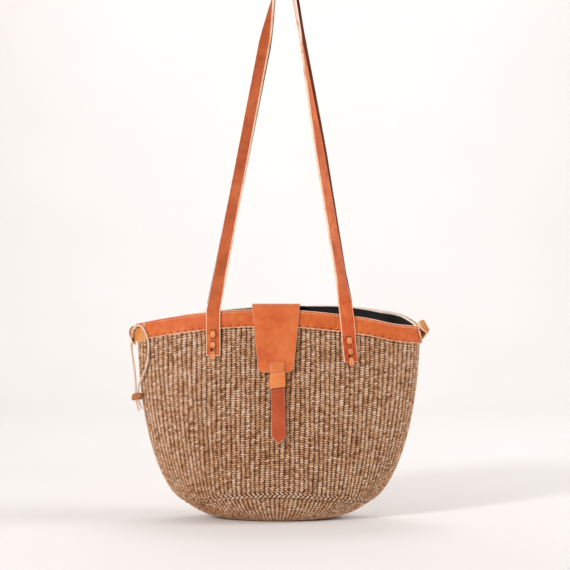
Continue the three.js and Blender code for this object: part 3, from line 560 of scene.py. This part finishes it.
# Tanned leather: smooth, softly mottled from the dye, with fine pores and a low satin gloss that
# varies where it was rubbed. The mottles are 30 and 7 mm wide, and the pores 0.8 mm, to show.
def tanned_leather(name, dark, mid, light, roughness, strip_tint=()):
    made, tree, shader = new_material(name)
    place = add(tree, "TexCoord", {})
    broad = add(tree, "TexNoise", {"Vector": place.outputs["Object"], "Scale": 33.0, "Detail": 4.0})
    close = add(tree, "TexNoise", {"Vector": place.outputs["Object"], "Scale": 140.0, "Detail": 5.0})
    both = add(tree, "Math", {0: close.outputs["Fac"], 1: 0.45}, operation="MULTIPLY")
    both = add(tree, "Math", {0: broad.outputs["Fac"], 1: 0.85, 2: both.outputs[0]},
               operation="MULTIPLY_ADD")
    dye = add(tree, "ValToRGB", {"Fac": both.outputs[0]}, ((0.42, dark), (0.9, light), (0.62, mid)))
    colour = dye.outputs["Color"]
    if strip_tint:
        # Along a strip, from its start (0) to its end (1), a tint multiplies the colour. On the strap it is
        # painted light: painted shade on the left leg and a painted sheen on the right leg. On the tongue it
        # is darker and redder below the keeper
        along = add(tree, "SeparateXYZ", {"Vector": place.outputs["UV"]})
        depth = add(tree, "ValToRGB", {"Fac": along.outputs["X"]}, strip_tint)
        tint = add(tree, "Mix", {"Factor": 1.0, "A": colour, "B": depth.outputs["Color"]},
                   data_type="RGBA", blend_type="MULTIPLY")
        colour = tint.outputs["Result"]
    pores = add(tree, "TexVoronoi", {"Vector": place.outputs["Object"], "Scale": 1250.0})
    soft = add(tree, "Math", {0: close.outputs["Fac"], 1: 2.0, 2: pores.outputs["Distance"]},
               operation="MULTIPLY_ADD")
    raised = add(tree, "Bump", {"Height": soft.outputs[0], "Strength": 0.18, "Distance": 0.0004})
    rubbed = add(tree, "MapRange", {"Value": broad.outputs["Fac"], "To Min": roughness + 0.1,
                                    "To Max": roughness - 0.1})
    feed(tree, shader, {"Base Color": colour, "Normal": raised.outputs["Normal"],
                        "Roughness": rubbed.outputs["Result"], "Specular IOR Level": 0.25})
    return made


# Raw leather: the cut edge and the flesh side, undyed or stained, fibrous and without gloss.
def raw_leather(name, dark, light):
    made, tree, shader = new_material(name)
    place = add(tree, "TexCoord", {})
    nap = add(tree, "TexNoise", {"Vector": place.outputs["Object"], "Scale": 420.0, "Detail": 4.0})
    stain = add(tree, "TexNoise", {"Vector": place.outputs["Object"], "Scale": 45.0, "Detail": 2.0})
    both = add(tree, "Math", {0: nap.outputs["Fac"], 1: stain.outputs["Fac"]}, operation="ADD")
    tone = add(tree, "ValToRGB", {"Fac": both.outputs[0]}, ((0.7, dark), (1, light)))
    raised = add(tree, "Bump", {"Height": nap.outputs["Fac"], "Strength": 0.4, "Distance": 0.0005})
    feed(tree, shader, {"Base Color": tone.outputs["Color"], "Normal": raised.outputs["Normal"],
                        "Roughness": 0.9, "Specular IOR Level": 0.2})
    return made


raw_edge = raw_leather("raw_leather_edge", "#DE9F77", "#F8D3B8")
flesh_side = raw_leather("leather_flesh_side", "#8E5132", "#B87850")


def leather_piece(name, places, thickness, finish, bevel, raw=True):
    """A strip of leather along a grid of places, with a flesh side and eased edges, raw or dyed."""
    made = lay_grid(name, places)
    for one in (finish, raw_edge, flesh_side):
        made.data.materials.append(one)
    thick = made.modifiers.new("thickness", "SOLIDIFY")
    thick.thickness = thickness * MM
    thick.offset = 0
    thick.material_offset_rim = 1
    thick.material_offset = 2
    bpy.ops.object.modifier_apply(modifier="thickness")
    eased = made.modifiers.new("eased_edges", "BEVEL")
    eased.width = bevel * MM
    eased.segments = 2
    eased.limit_method = "ANGLE"
    eased.angle_limit = math.radians(50)
    eased.material = 1 if raw else -1
    bpy.ops.object.modifier_apply(modifier="eased_edges")
    bpy.ops.object.shade_smooth_by_angle(angle=math.radians(45))
    return made


band_leather = tanned_leather("band_leather", "#B64D20", "#CB5E29", "#DE783B", roughness=0.55)


def seam_turn(end, inset):
    """The turn of a seam on the front, which is inset from the basket's end."""
    return 2 * math.pi - math.acos(end * (RIM_LENGTH - inset) / RIM_LENGTH)


def band_line(first, last, below, out, count):
    """Evenly spaced turns along a band, a distance below its top edge, and the band's length there."""
    fine = np.linspace(first, last, 2001)
    run = distance_along(wall_place(fine, rim_height(fine) + BAND_RISE - below, np.full_like(fine, out)))
    return np.interp(np.linspace(0, run[-1], count), run, fine), run[-1]


# Waxed thread: two plies twisted round each other, which show as slanted light and dark, 1 mm apart.
def waxed_thread(name, dark, light):
    made, tree, shader = new_material(name)
    place = add(tree, "TexCoord", {})
    ply = add(tree, "TexWave", {"Vector": place.outputs["Object"], "Scale": 320.0, "Distortion": 1.0},
              bands_direction="DIAGONAL")
    tone = add(tree, "ValToRGB", {"Fac": ply.outputs["Fac"]}, ((0, dark), (1, light)))
    feed(tree, shader, {"Base Color": tone.outputs["Color"], "Roughness": 0.6})
    return made


light_thread = waxed_thread("cream_waxed_thread", "#D8B79A", "#F6E2CF")
dark_thread = waxed_thread("brown_waxed_thread", "#3A1C0E", "#6A3A20")
# Distance below the top edge, pitch, length, width and slope of the stitches in each row
thread_rows = {
    "top_stitches": (2.9, 3.3, 1.6, 1.25, 24, light_thread),
    "low_stitches": (18.9, 9.0, 3.6, 1.1, 8, dark_thread),
}
left_seam, right_seam = seam_turn(-1, 11.5), seam_turn(1, 2.5)
band_spans = {
    "rim_band_front": (left_seam, right_seam),
    "rim_band_back": (right_seam - 2 * math.pi, left_seam),
}
seam_gap = 0.15 / RIM_DEPTH
for name, (first, last) in band_spans.items():
    first, last = first + seam_gap, last - seam_gap
    turns, run = band_line(first, last, BAND_HEIGHT / 2, BAND_GAP, 220)
    rows = []
    for share in np.linspace(0, 1, 8):
        z = rim_height(turns) - BAND_HEIGHT + share * (BAND_HEIGHT + BAND_RISE)
        pucker = 0.22 * np.sin(turns * PUCKERS + 1.5 * np.sin(turns * 9)) * math.sin(math.pi * share)
        rows.append(wall_place(turns, z, BAND_GAP + BAND / 2 + 0.1 + pucker))
    band = leather_piece(name + "_leather", np.stack(rows), BAND, band_leather, bevel=0.7)
    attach(band, "bag")
    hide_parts(name)
    for kind, (below, pitch, length, width, slope, thread) in thread_rows.items():
        count = int(run / pitch)
        places, _ = band_line(first + 0.01, last - 0.01, below, BAND_GAP, count)
        here, ahead = (wall_place(t, rim_height(t) + BAND_RISE - below, np.full_like(t, OVER_BAND))
                       for t in (places, places + 0.003))
        matrices = []
        for k in range(count):
            run_way = (ahead[k] - here[k]) / np.linalg.norm(ahead[k] - here[k])
            outward = np.array([math.cos(places[k]) / RIM_LENGTH, math.sin(places[k]) / RIM_DEPTH, 0])
            outward /= np.linalg.norm(outward)
            sideways = np.cross(outward, run_way)
            tilt = math.radians(slope + 6 * (float(chance(float(k), below)) - 0.5))
            lying = run_way * math.cos(tilt) + sideways * math.sin(tilt)
            matrices.append(standing(here[k], lying, outward))
        stitch = grain(length / 2, width / 2, width / 2, 6)
        thread_row = copies(f"{name}_{kind}", stitch, matrices)
        thread_row.data.materials.append(thread)
        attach(thread_row, "bag")


# Facing: a narrow strip of undyed leather, sewn in over the lining's hem, which shows as a pale lip
# inside the rim. It is deepest behind, to the right, and thins out toward the right end.
undyed_facing = raw_leather("undyed_facing_leather", "#EFD6C5", "#FFF2E6")
turns = even_turns(260)
ease = np.clip((np.cos(turns) - 0.45) / 0.3, 0, 1)
end = np.clip((np.cos(turns) - 0.76) / 0.2, 0, 1)
deep = 0.6 + 1.8 * ease * (1 - end)
# Its section: how far it lies inward of the wall's inside, and over the rim
lip = ((-2.2, -0.5), (-2.2, 0.3), (0, 0.6), (1.9, 0.5), (2.3, 0.2), (2.3, -deep), (1.3, -deep), (-2.2, -0.5))
rows = []
for inward, over in lip:
    inset = WALL + (inward * (1 - 0.7 * end) if inward > 0 else inward)
    rows.append(wall_place(turns, rim_height(turns) + over, -inset))
facing = lay_grid("rim_facing", np.stack(rows))
close_up(50)
facing.data.materials.append(undyed_facing)
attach(facing, "bag")


# Straps: two long strips of orange-brown leather. Each end lies on the wall over the band, where a
# thong is laced through it, and the strap turns as it rises to the bend at the top.
STRAP, STRAP_WIDTH = 3.0, 17.4
STRAP_OFF, EDGE_RUN = 0.6, 9  # off the wall, and the length in which it climbs over the band's edge
ARCH_LEFT, TOP_Z, TOP_Y = -6.3, 667.0, 10.0
THONG, HOLE_WIDTH = 1.7, 5.9
THONG_HOLES = (30.5, 22, 17, 9.5, 5.7)  # over the strap's lower end
KNIFE_DEPTH = 30.0
# Shares of the way up a leg, and how far the strap has turned there, in degrees
LEFT_TURN = [(0.12, 30), (0.85, 35), (1, 90)]
RIGHT_TURN = [(0.1, 46), (0.5, 52), (0.9, 90), (1, 90)]
# The back strap's edges and flesh side are painted dark, as painted shade, so that it shows as a dark line
# past the front one
shaded_strap_edge = raw_leather("painted_shade_strap_edge", "#46190E", "#70301C")
# Along the strap the tint paints shade on the left leg and a painted sheen on the right leg, with the feet
# between
strap_leather = tanned_leather(
    "strap_leather", "#B35329", "#D36634", "#EA834B", roughness=0.55,
    strip_tint=((0, "#ECE7C5"), (1, "#ECC9BF"), (0.15, "#ECE7C5"), (0.24, "#D1C6B6"), (0.45, "#D1C6B6"),
          (0.56, "#FFFFFF"), (0.82, "#FFFFFF"), (0.87, "#ECC9BF")))
thong_leather = tanned_leather("thong_leather", "#CB6C38", "#E08A52", "#F2AC78", roughness=0.5)


def wall_frame(x, z, side):
    """A place on the wall, front (-1) or back (1), with the directions across, up and out there."""
    turn = side * math.pi / 2
    for _ in range(20):
        length, _, middle = wall_oval(turn, z)
        turn = side * math.acos((x - middle) / length)
    here = wall_place(np.float64(turn), z, 0)
    across = wall_place(np.float64(turn + 0.01), z, 0) - wall_place(np.float64(turn - 0.01), z, 0)
    across = across / np.linalg.norm(across)
    up = wall_place(np.float64(turn), z + 1, 0) - wall_place(np.float64(turn), z - 1, 0)
    up = up - across * (up @ across)
    up = up / np.linalg.norm(up)
    return here, across, up, np.cross(across, up)


def rim_at(x, side):
    """The rim's height at a place along the front (-1) or back (1)."""
    return float(rim_height(side * math.acos(x / RIM_LENGTH)))


def strip_places(stations, columns):
    """Rows of places for a strip through stations of middle, across and width."""
    shares = np.linspace(-0.5, 0.5, columns)
    return np.stack([[m + a * (w * s) for m, a, w in stations] for s in shares])


def rounded(path):
    """A path with its corners cut round, twice over."""
    path = [np.array(p, float) for p in path]
    for _ in range(2):
        cut = [path[0]]
        for a, b in zip(path, path[1:]):
            cut += [a * 0.75 + b * 0.25, a * 0.25 + b * 0.75]
        path = cut + [path[-1]]
    return path


def laced_thong(name, laid, spot, across, up, out):
    """A thong laced in and out through a strap's end and the wall, with a short tail below. Also gives
    the strap's holes as place, width and height."""
    heights = [float((middle - spot) @ up) for middle, _, _ in laid]
    outs = [float((middle - spot) @ out) for middle, _, _ in laid]

    def face(v):
        return float(np.interp(v, heights, outs)) + STRAP / 2

    low = heights[0]
    tail = low - 4
    holes = [low + height for height in THONG_HOLES]
    inside = -WALL - 1.4
    path = [(holes[0] + 5, inside)]
    for high, lower in ((holes[0], holes[1]), (holes[2], holes[3])):
        path += [(high, inside), (high, face(high) + 0.9), ((high + lower) / 2, face(high) + 2.6)]
        path += [(lower, face(lower) + 0.9), (lower, inside)]
    path += [(holes[4], inside), (holes[4], face(holes[4]) + 1.2)]
    path += [(low - 1, face(low) + 1.3), (tail, face(tail) + 1.1)]
    stations = []
    for v, w in rounded(path):
        plump = 0
        for high, lower in ((holes[0], holes[1]), (holes[2], holes[3]), (holes[4], tail - 4)):
            if lower < v < high and w > face(v):
                plump = math.sin(math.pi * (v - lower) / (high - lower)) ** 0.7
        stations.append((spot + up * v + out * w, across, 3.4 + 2.4 * plump))
    places = strip_places(stations, columns=4)
    thong = leather_piece(name, places, THONG, thong_leather, bevel=0.5, raw=False)
    puffed = thong.modifiers.new("rounded", "SUBSURF")
    puffed.levels = puffed.render_levels = 1
    bpy.ops.object.modifier_apply(modifier="rounded")
    bpy.ops.object.shade_smooth()
    slits = [(hole, 2.6) for hole in holes[:3]] + [((holes[3] + holes[4]) / 2, 6.4)]
    return thong, [(standing(spot + up * v, across, out), HOLE_WIDTH, tall) for v, tall in slits]


def cut_slits(piece, slits):
    """Cuts slits through a piece, each given as place, width and height."""
    knives = []
    for matrix, wide, tall in slits:
        bpy.ops.object.select_all(action="DESELECT")
        bpy.ops.mesh.primitive_cube_add(size=1)
        knife = bpy.context.object
        knife.data.transform(matrix @ Matrix.Diagonal((wide * MM, tall * MM, KNIFE_DEPTH * MM, 1)))
        knives.append(knife)
    knife = join(knives) if len(knives) > 1 else knives[0]
    knife.data.materials.append(flesh_side)
    bpy.context.view_layer.objects.active = piece
    cut = piece.modifiers.new("slits", "BOOLEAN")
    cut.object = knife
    cut.operation = "DIFFERENCE"
    cut.solver = "EXACT"
    bpy.ops.object.modifier_apply(modifier="slits")
    bpy.data.objects.remove(knife)


# Side, radius of the bend at the top, hinge line over the band, and x, lowest point and lean of each end
straps = {
    "front_strap": (-1, 12.0, 1.0, (-79.5, 204.5, 0.0), (81.5, 196.5, 6.0)),
    "back_strap": (1, 15.0, 1.9, (-83.0, 203.0, 0.0), (84.5, 203.0, 0.0)),
}
for name, (side, radius, rise, left_end, right_end) in straps.items():
    hinge = max(rim_at(left_end[0], side), rim_at(right_end[0], side)) + BAND_RISE + rise
    bend = np.array([ARCH_LEFT + radius, side * TOP_Y, TOP_Z - radius])
    arch = []
    for turn in np.radians(np.linspace(-10, 190, 25)):
        spot = bend + radius * np.array([-math.cos(turn), 0, math.sin(turn)])
        arch.append((spot, np.array([0, 1.0, 0]), STRAP_WIDTH))
    legs, holes = {}, []
    ends = ((-1, name + "_left_end", left_end, LEFT_TURN, arch[0][0]),
            (1, name + "_right_end", right_end, RIGHT_TURN, arch[-1][0]))
    for way, end, (x, low, lean), turns, top in ends:
        tilt = math.atan2(lean, hinge - low)
        rim = rim_at(x, side)
        here, _, _, out = wall_frame(x, rim - 1, side)
        foot = here + out * (OVER_BAND + STRAP / 2)
        foot[2] = hinge
        foot_turn = math.degrees(math.atan2(way * out[0], side * out[1]))
        marks, degrees = zip((0, foot_turn), *turns)
        laid = []
        for z in np.concatenate([np.linspace(low, rim - 1, 26), [rim + 1.2]]):
            at = x + math.tan(tilt) * (hinge - z)
            spot, across, _, out = wall_frame(at, min(z, rim - 1), side)
            over_edge = np.clip((z - (rim - BAND_HEIGHT - EDGE_RUN)) / EDGE_RUN, 0, 1)
            off = STRAP_OFF + (OVER_BAND + 0.3 - STRAP_OFF) * over_edge * over_edge * (3 - 2 * over_edge)
            spot = spot + out * (off + STRAP / 2)
            spot[2] = max(spot[2], z) if z > rim - 1 else spot[2]
            laid.append((spot, -across, STRAP_WIDTH))
        leg = []
        for share in np.linspace(0.006, 1, 46)[:-1]:
            turn = math.radians(np.interp(share, marks, degrees))
            across = np.array([side * math.cos(turn), -way * math.sin(turn), 0])
            leg.append((foot + (top - foot) * share, across, STRAP_WIDTH))
        legs[way] = laid + leg
        middle = low + THONG_HOLES[2]
        spot, across, up, out = wall_frame(x + math.tan(tilt) * (hinge - middle), middle, side)
        c, s = math.cos(tilt), math.sin(tilt)
        across, up = across * c + up * s, up * c - across * s
        thong, slits = laced_thong(end + "_thong", laid, spot, across, up, out)
        holes += slits
        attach(thong, "bag")
        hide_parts(end + "_lacing")
    stations = legs[-1] + arch + legs[1][::-1]
    for i in range(1, len(stations)):
        if stations[i][1] @ stations[i - 1][1] < 0:
            stations[i] = (stations[i][0], -stations[i][1], stations[i][2])
    places = strip_places(stations, columns=6)
    strap = leather_piece(name + "_leather", places, STRAP, strap_leather, bevel=0.8)
    # The back strap's edges and flesh side get the painted shade
    if side > 0:
        strap.data.materials[1] = strap.data.materials[2] = shaded_strap_edge
    cut_slits(strap, holes)
    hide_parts(name, name + "_left_end", name + "_right_end")
    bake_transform(strap)


# Flap: one piece of smooth orange-tan leather, sewn outside the back band. It goes over the mouth and
# down the front, narrows, and ends in rounded corners with a slot across it.
FLAP, FLAP_X = 2.2, -3.6
FLAP_WIDTH, FOLD_WIDTH, END_WIDTH = 62.0, 57.5, 42.5
FLAP_END, FOLD_RADIUS, CORNER = 184.4, 4.0, 8.0
TAIL_HEIGHT = 34.0
FLAP_OFF = OVER_BAND + 0.3
FLAP_LIFT, LIFT_FROM, LIFT_RUN = 2.2, 250, 50  # the free end stands off the wall
SLOT_Z, SLOT_HEIGHT = FLAP_END + 12, 2.6
TONGUE, TONGUE_WIDTH = 1.8, 16.6
flap_leather = tanned_leather("flap_leather", "#C2572A", "#D36834", "#E07D47", roughness=0.52)
flap_rims = [rim_at(FLAP_X + s * FLAP_WIDTH, side) for s in (-0.5, 0, 0.5) for side in (-1, 1)]
roof_z = max(flap_rims) + BAND_RISE + 0.3 + FLAP / 2
right = np.array([1.0, 0, 0])


def flap_front(z):
    """The middle of the flap where it hangs in front of the wall."""
    here, _, _, out = wall_frame(FLAP_X, z, -1)
    lift = FLAP_LIFT * np.clip((LIFT_FROM - z) / LIFT_RUN, 0, 1)
    return here + out * (FLAP_OFF + lift + FLAP / 2)


def flap_back(z):
    """The middle of the flap's tail against the back."""
    here, _, _, out = wall_frame(FLAP_X, z, 1)
    return here + out * (FLAP_OFF + FLAP / 2)


def fall_width(z):
    """The flap's width where it hangs in front: it narrows, and its lower corners are round."""
    share = np.clip((roof_z - FOLD_RADIUS - z) / (roof_z - FOLD_RADIUS - FLAP_END), 0, 1)
    up = min(1.0, max(0.0, (z - FLAP_END) / CORNER))
    corner = 2 * CORNER * (1 - math.sqrt(max(0, 1 - (1 - up) ** 2)))
    return FOLD_WIDTH + (END_WIDTH - FOLD_WIDTH) * share - corner


def tongue_x(z):
    """The tongue hangs a little askew."""
    return -1.0 - 0.022 * (z - 150)


def level(x, y, z, width):
    """A station of a strip that lies straight across the bag."""
    return np.array([x, y, z]), right, width


back_rim = rim_at(FLAP_X, 1)
back_y = flap_back(back_rim - 1)[1]
front_y = flap_front(rim_at(FLAP_X, -1) - FOLD_RADIUS / 2)[1]
turn_radius = roof_z - back_rim
roof_from, roof_to = back_y - turn_radius, front_y + FOLD_RADIUS
stations = []
for z in np.linspace(roof_z + FLAP / 2 - TAIL_HEIGHT, back_rim - 1, 12):
    stations.append(level(FLAP_X, flap_back(z)[1], z, FLAP_WIDTH))
for turn in np.radians([15, 35, 55, 75, 90]):
    y = back_y - turn_radius * (1 - math.cos(turn))
    stations.append(level(FLAP_X, y, roof_z - turn_radius * (1 - math.sin(turn)), FLAP_WIDTH))
for share in np.linspace(0.04, 1, 18):
    y = roof_from + (roof_to - roof_from) * share
    stations.append(level(FLAP_X, y, roof_z, FLAP_WIDTH + (FOLD_WIDTH - FLAP_WIDTH) * share))
for turn in np.radians([15, 30, 45, 60, 75, 90]):
    y = front_y + FOLD_RADIUS * (1 - math.sin(turn))
    stations.append(level(FLAP_X, y, roof_z - FOLD_RADIUS * (1 - math.cos(turn)), FOLD_WIDTH))
fall = list(np.linspace(roof_z - FOLD_RADIUS - 3, FLAP_END + CORNER, 22))
fall += [FLAP_END + CORNER * s for s in (0.8, 0.6, 0.42, 0.27, 0.15, 0.07, 0.02, 0)]
for z in fall:
    _, y, height = flap_front(z)
    stations.append(level(FLAP_X, y, height, fall_width(z)))
flap = leather_piece("flap_leather", strip_places(stations, columns=19), FLAP, flap_leather, bevel=0.35)
here, _, _, out = wall_frame(tongue_x(SLOT_Z), SLOT_Z, -1)
cut_slits(flap, [(standing(here, right, out), TONGUE_WIDTH + 1.6, SLOT_HEIGHT)])
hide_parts("flap", "flap_tail")
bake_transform(flap)


# Tongue: a redder leather strap that is sewn behind the flap, comes out through its slot, goes through
# the keeper and hangs in a point with raw pale edges.
TIP_Z, POINT, TIP_WIDTH = 99.7, 8.0, 1.2
TONGUE_OFF = 4.2  # below the keeper
CURL, CURL_LENGTH = 3.0, 18
KEEPER_TOP, KEEPER_HEIGHT = FLAP_END - 1.2, 17.0
BEHIND = FLAP_OFF + FLAP_LIFT - 0.3 - TONGUE / 2
OVER_FLAP = FLAP_OFF + FLAP_LIFT + FLAP + 0.3


def tongue_off(z):
    """How far the tongue's middle is off the wall: over the flap, then nearer, and the tip curls out."""
    lying = KEEPER_TOP - 2 * KEEPER_HEIGHT
    share = np.clip((FLAP_END - z) / (FLAP_END - lying), 0, 1)
    curl = CURL * max(0, (TIP_Z + CURL_LENGTH - z) / CURL_LENGTH) ** 2
    return float(OVER_FLAP + (TONGUE_OFF - OVER_FLAP) * share * share * (3 - 2 * share) + curl + TONGUE / 2)


def tongue_station(z, off, width):
    """A station of the tongue's strip, off the wall."""
    here, _, _, out = wall_frame(tongue_x(z), z, -1)
    _, y, height = here + out * off
    return level(tongue_x(z), y, height, width)


path = [(SLOT_Z + over, BEHIND) for over in (16, 8, 0.4)]
path += [(SLOT_Z + 0.4, OVER_FLAP + TONGUE / 2 + 0.2)]
path += [(z, tongue_off(z)) for z in np.linspace(SLOT_Z - 3, TIP_Z + POINT, 40)]
path = rounded(path[:6]) + path[6:]
stations = [tongue_station(z, off, TONGUE_WIDTH) for z, off in path]
for share in (0.15, 0.35, 0.55, 0.75, 0.9, 1.0):
    z = TIP_Z + POINT * (1 - share)
    stations.append(tongue_station(z, tongue_off(z), TONGUE_WIDTH + (TIP_WIDTH - TONGUE_WIDTH) * share))
keeper_z = KEEPER_TOP - KEEPER_HEIGHT / 2
kept_under = sum(middle[2] > keeper_z for middle, _, _ in stations) / len(stations)
# The tint makes the tongue darker and redder below the keeper
tongue_leather = tanned_leather(
    "tongue_leather", "#C96A38", "#DB7A42", "#EB9258", roughness=0.52,
    strip_tint=((kept_under - 0.08, "#FFFFFF"), (kept_under + 0.08, "#D5A9A9")))
places = strip_places(stations, columns=7)
tongue = leather_piece("tongue_leather", places, TONGUE, tongue_leather, bevel=0.8)
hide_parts("tongue", "tongue_root")
here, _, _, out = wall_frame(tongue_x(SLOT_Z), SLOT_Z, -1)
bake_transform(tongue)


# Keeper: a light orange-tan leather band over the tongue. Its ends go through the wall and are bent over
# inside, and it sits askew, with its right end higher.
KEEPER, KEEPER_SLOPE = 1.0, 0.12
keeper_leather = tanned_leather("keeper_leather", "#D57038", "#E18347", "#EC985C", roughness=0.55)
here, _, up, out = wall_frame(tongue_x(keeper_z), keeper_z, -1)
side = TONGUE_WIDTH / 2 + 0.3 + KEEPER / 2
face = tongue_off(KEEPER_TOP) + TONGUE / 2 + 0.6 + KEEPER / 2
inside = -WALL - 0.95
half = [(side / 2, face + 0.2), (side, face), (side, 0), (side, inside), (side - 7, inside)]
path = [(-u, w) for u, w in half[::-1]] + half
stations = []
for u, w in rounded(path):
    stations.append((here + right * u + up * (KEEPER_SLOPE * u) + out * w, up, KEEPER_HEIGHT))
places = strip_places(stations, columns=6)
keeper = leather_piece("keeper_leather", places, KEEPER, keeper_leather, bevel=0.3)
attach(keeper, "bag")
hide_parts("keeper")


# Side tabs: a strip of tan leather at each end of the rim, folded to a loop and sewn down. The loops lean
# and the right one twists, so that their outer face shows from the front. The left one holds the lace.
tab_leather = tanned_leather("tab_leather", "#B0662E", "#C8803F", "#DC9A5C", roughness=0.55)
TAB, TAB_WIDTH = 1.6, 13.0
LEFT_TAB_Z = 228
left_loop = [(0.8, 0), (0.8, 7.7), (3.5, 7.7), (6.4, 2.7), (6.6, 0),
             (6.4, -2.7), (3.5, -7.7), (0.8, -7.7), (0.8, 0)]
left_lean = np.array([-0.24, 0.8, 0.55]) * TAB_WIDTH / 2
left_middle = [np.array([-(RIM_LENGTH + OVER_BAND) - u, 0, LEFT_TAB_Z + v]) for u, v in left_loop]
# Each strip's fore and aft edges
tab_edges = {
    "side_tab_left": ([m - left_lean for m in left_middle], [m + left_lean for m in left_middle]),
    "side_tab_right": (
        [(173.6, -14, 236), (173.3, -14, 244.4), (173.6, -14, 245.4), (175.2, -14, 240), (177, -13.8, 236.2),
         (183.4, -12.6, 232.2), (183.8, -12.2, 230.2), (179.6, -11.2, 224.6), (177.8, -10.6, 223.6),
         (175.6, -11.6, 227), (173.8, -14, 235)],
        [(180, -1, 236), (180, -1, 246.4), (180.6, -1, 247.4), (183.9, -1, 241), (185.2, -1, 238.5),
         (187.4, -1, 234.9), (187.2, -1, 234.2), (184.4, -1, 236.5), (181.6, -1, 238),
         (180.4, -1, 236.5), (180, -1, 235)]),
}
for name, edges in tab_edges.items():
    stations = []
    for fore, aft in zip(*(rounded(edge) for edge in edges)):
        wide = float(np.linalg.norm(aft - fore))
        stations.append(((fore + aft) / 2, (aft - fore) / wide, wide))
    places = strip_places(stations, columns=5)
    tab = leather_piece(name + "_leather", places, TAB, tab_leather, bevel=0.4)
    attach(tab, "bag")
    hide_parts(name)

# The left tab's foot, which lies against the band and reaches further round to the front
FOOT_LOW, FOOT_HIGH = 220.6, 236.6
BACK_TURN, FRONT_TURN = math.pi - 0.2, math.pi + 0.41
turns = np.linspace(BACK_TURN, FRONT_TURN, 14)
rows = []
for z in np.linspace(FOOT_LOW, FOOT_HIGH, 5):
    rows.append(wall_place(turns, np.full_like(turns, z), OVER_BAND + TAB / 2 + 0.1))
tab_foot = leather_piece("side_tab_left_foot", np.stack(rows), TAB, tab_leather, bevel=0.4)
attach(tab_foot, "bag")
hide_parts("side_tab_left")


# Side lace: a pale, round, undyed leather lace. It runs from one tail through the bead, round through
# the left tab and back through the bead to the other tail.
LACE_DIAMETER = 2.6
LACE_ROUTE = [
    (-169.8, -14.8, 137.5), (-172.8, -13.8, 143.5), (-174.6, -13, 149.3), (-174.6, -13, 157.3),
    (-174.2, -13.3, 166), (-171.2, -16.2, 173.5), (-167, -20.2, 182), (-163.4, -23.2, 192),
    (-161.3, -24.2, 205), (-161.2, -23.9, 218.5), (-163.6, -22.9, 229), (-166.6, -21, 235.2),
    (-171, -18.3, 240), (-176.4, -14.8, 240.6), (-180.6, -11, 236.8), (-182.5, -6.5, 232.6),
    (-182.8, 0, 230.6), (-183, 6, 229.6), (-184, 9.6, 226.6), (-185.1, 10.2, 220),
    (-185.3, 8.6, 211.5), (-183, 3.4, 198), (-179.6, -5.6, 180), (-178.1, -12, 168),
    (-177.8, -13, 157.3), (-177.8, -13, 149.3), (-176.4, -13.5, 143.5), (-173.6, -14.4, 135),
]
lace_leather = raw_leather("undyed_lace_leather", "#C5A187", "#E4C9B5")
bpy.ops.object.select_all(action="DESELECT")
bpy.ops.curve.primitive_bezier_curve_add()
lace = bpy.context.object
lace.name = "side_lace_leather"
line = lace.data.splines[0]
line.bezier_points.add(len(LACE_ROUTE) - 2)
for point, spot in zip(line.bezier_points, LACE_ROUTE):
    point.co = Vector(spot) * MM
    point.handle_left_type = point.handle_right_type = "AUTO"
line.resolution_u = 6
lace.data.bevel_depth = LACE_DIAMETER / 2 * MM
lace.data.bevel_resolution = 3
lace.data.use_fill_caps = True
lace.data.materials.append(lace_leather)
bpy.context.view_layer.update()
bpy.ops.object.convert(target="MESH")
lace = bpy.context.object
bpy.ops.object.shade_smooth_by_angle(angle=math.radians(50))
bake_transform(lace)
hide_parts("side_lace")


# Bead: a strip of red-brown leather rolled round both legs of the lace, on which it slides. It is widest in
# its middle and sits a little askew.
BEAD_X, BEAD_Y, BEAD_Z = -176.2, -13, 153.6
BEAD_HEIGHT, BEAD = 7.4, 1.9
LEG_SHIFT = 2.5  # from the bead's middle to the middle of its round side
bead_leather = tanned_leather("bead_leather", "#7E3B26", "#A3563C", "#BD7152", roughness=0.5)
rows = []
for share in np.linspace(-0.5, 0.5, 7):
    bulge = 2.1 + 1.3 * (1 - (2 * share) ** 2)
    ring = []
    for turn in np.radians(np.linspace(0, 360, 41)):
        u = (LEG_SHIFT if math.cos(turn) > 0 else -LEG_SHIFT) + bulge * math.cos(turn)
        z = BEAD_Z - BEAD_HEIGHT * share - 0.07 * u * u + 0.12 * u
        ring.append((BEAD_X + u, BEAD_Y + bulge * math.sin(turn), z))
    rows.append(ring)
bead = leather_piece("lace_bead_leather", np.array(rows), BEAD, bead_leather, bevel=0.7, raw=False)
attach(bead, "lace_bead")
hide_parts("lace_bead")
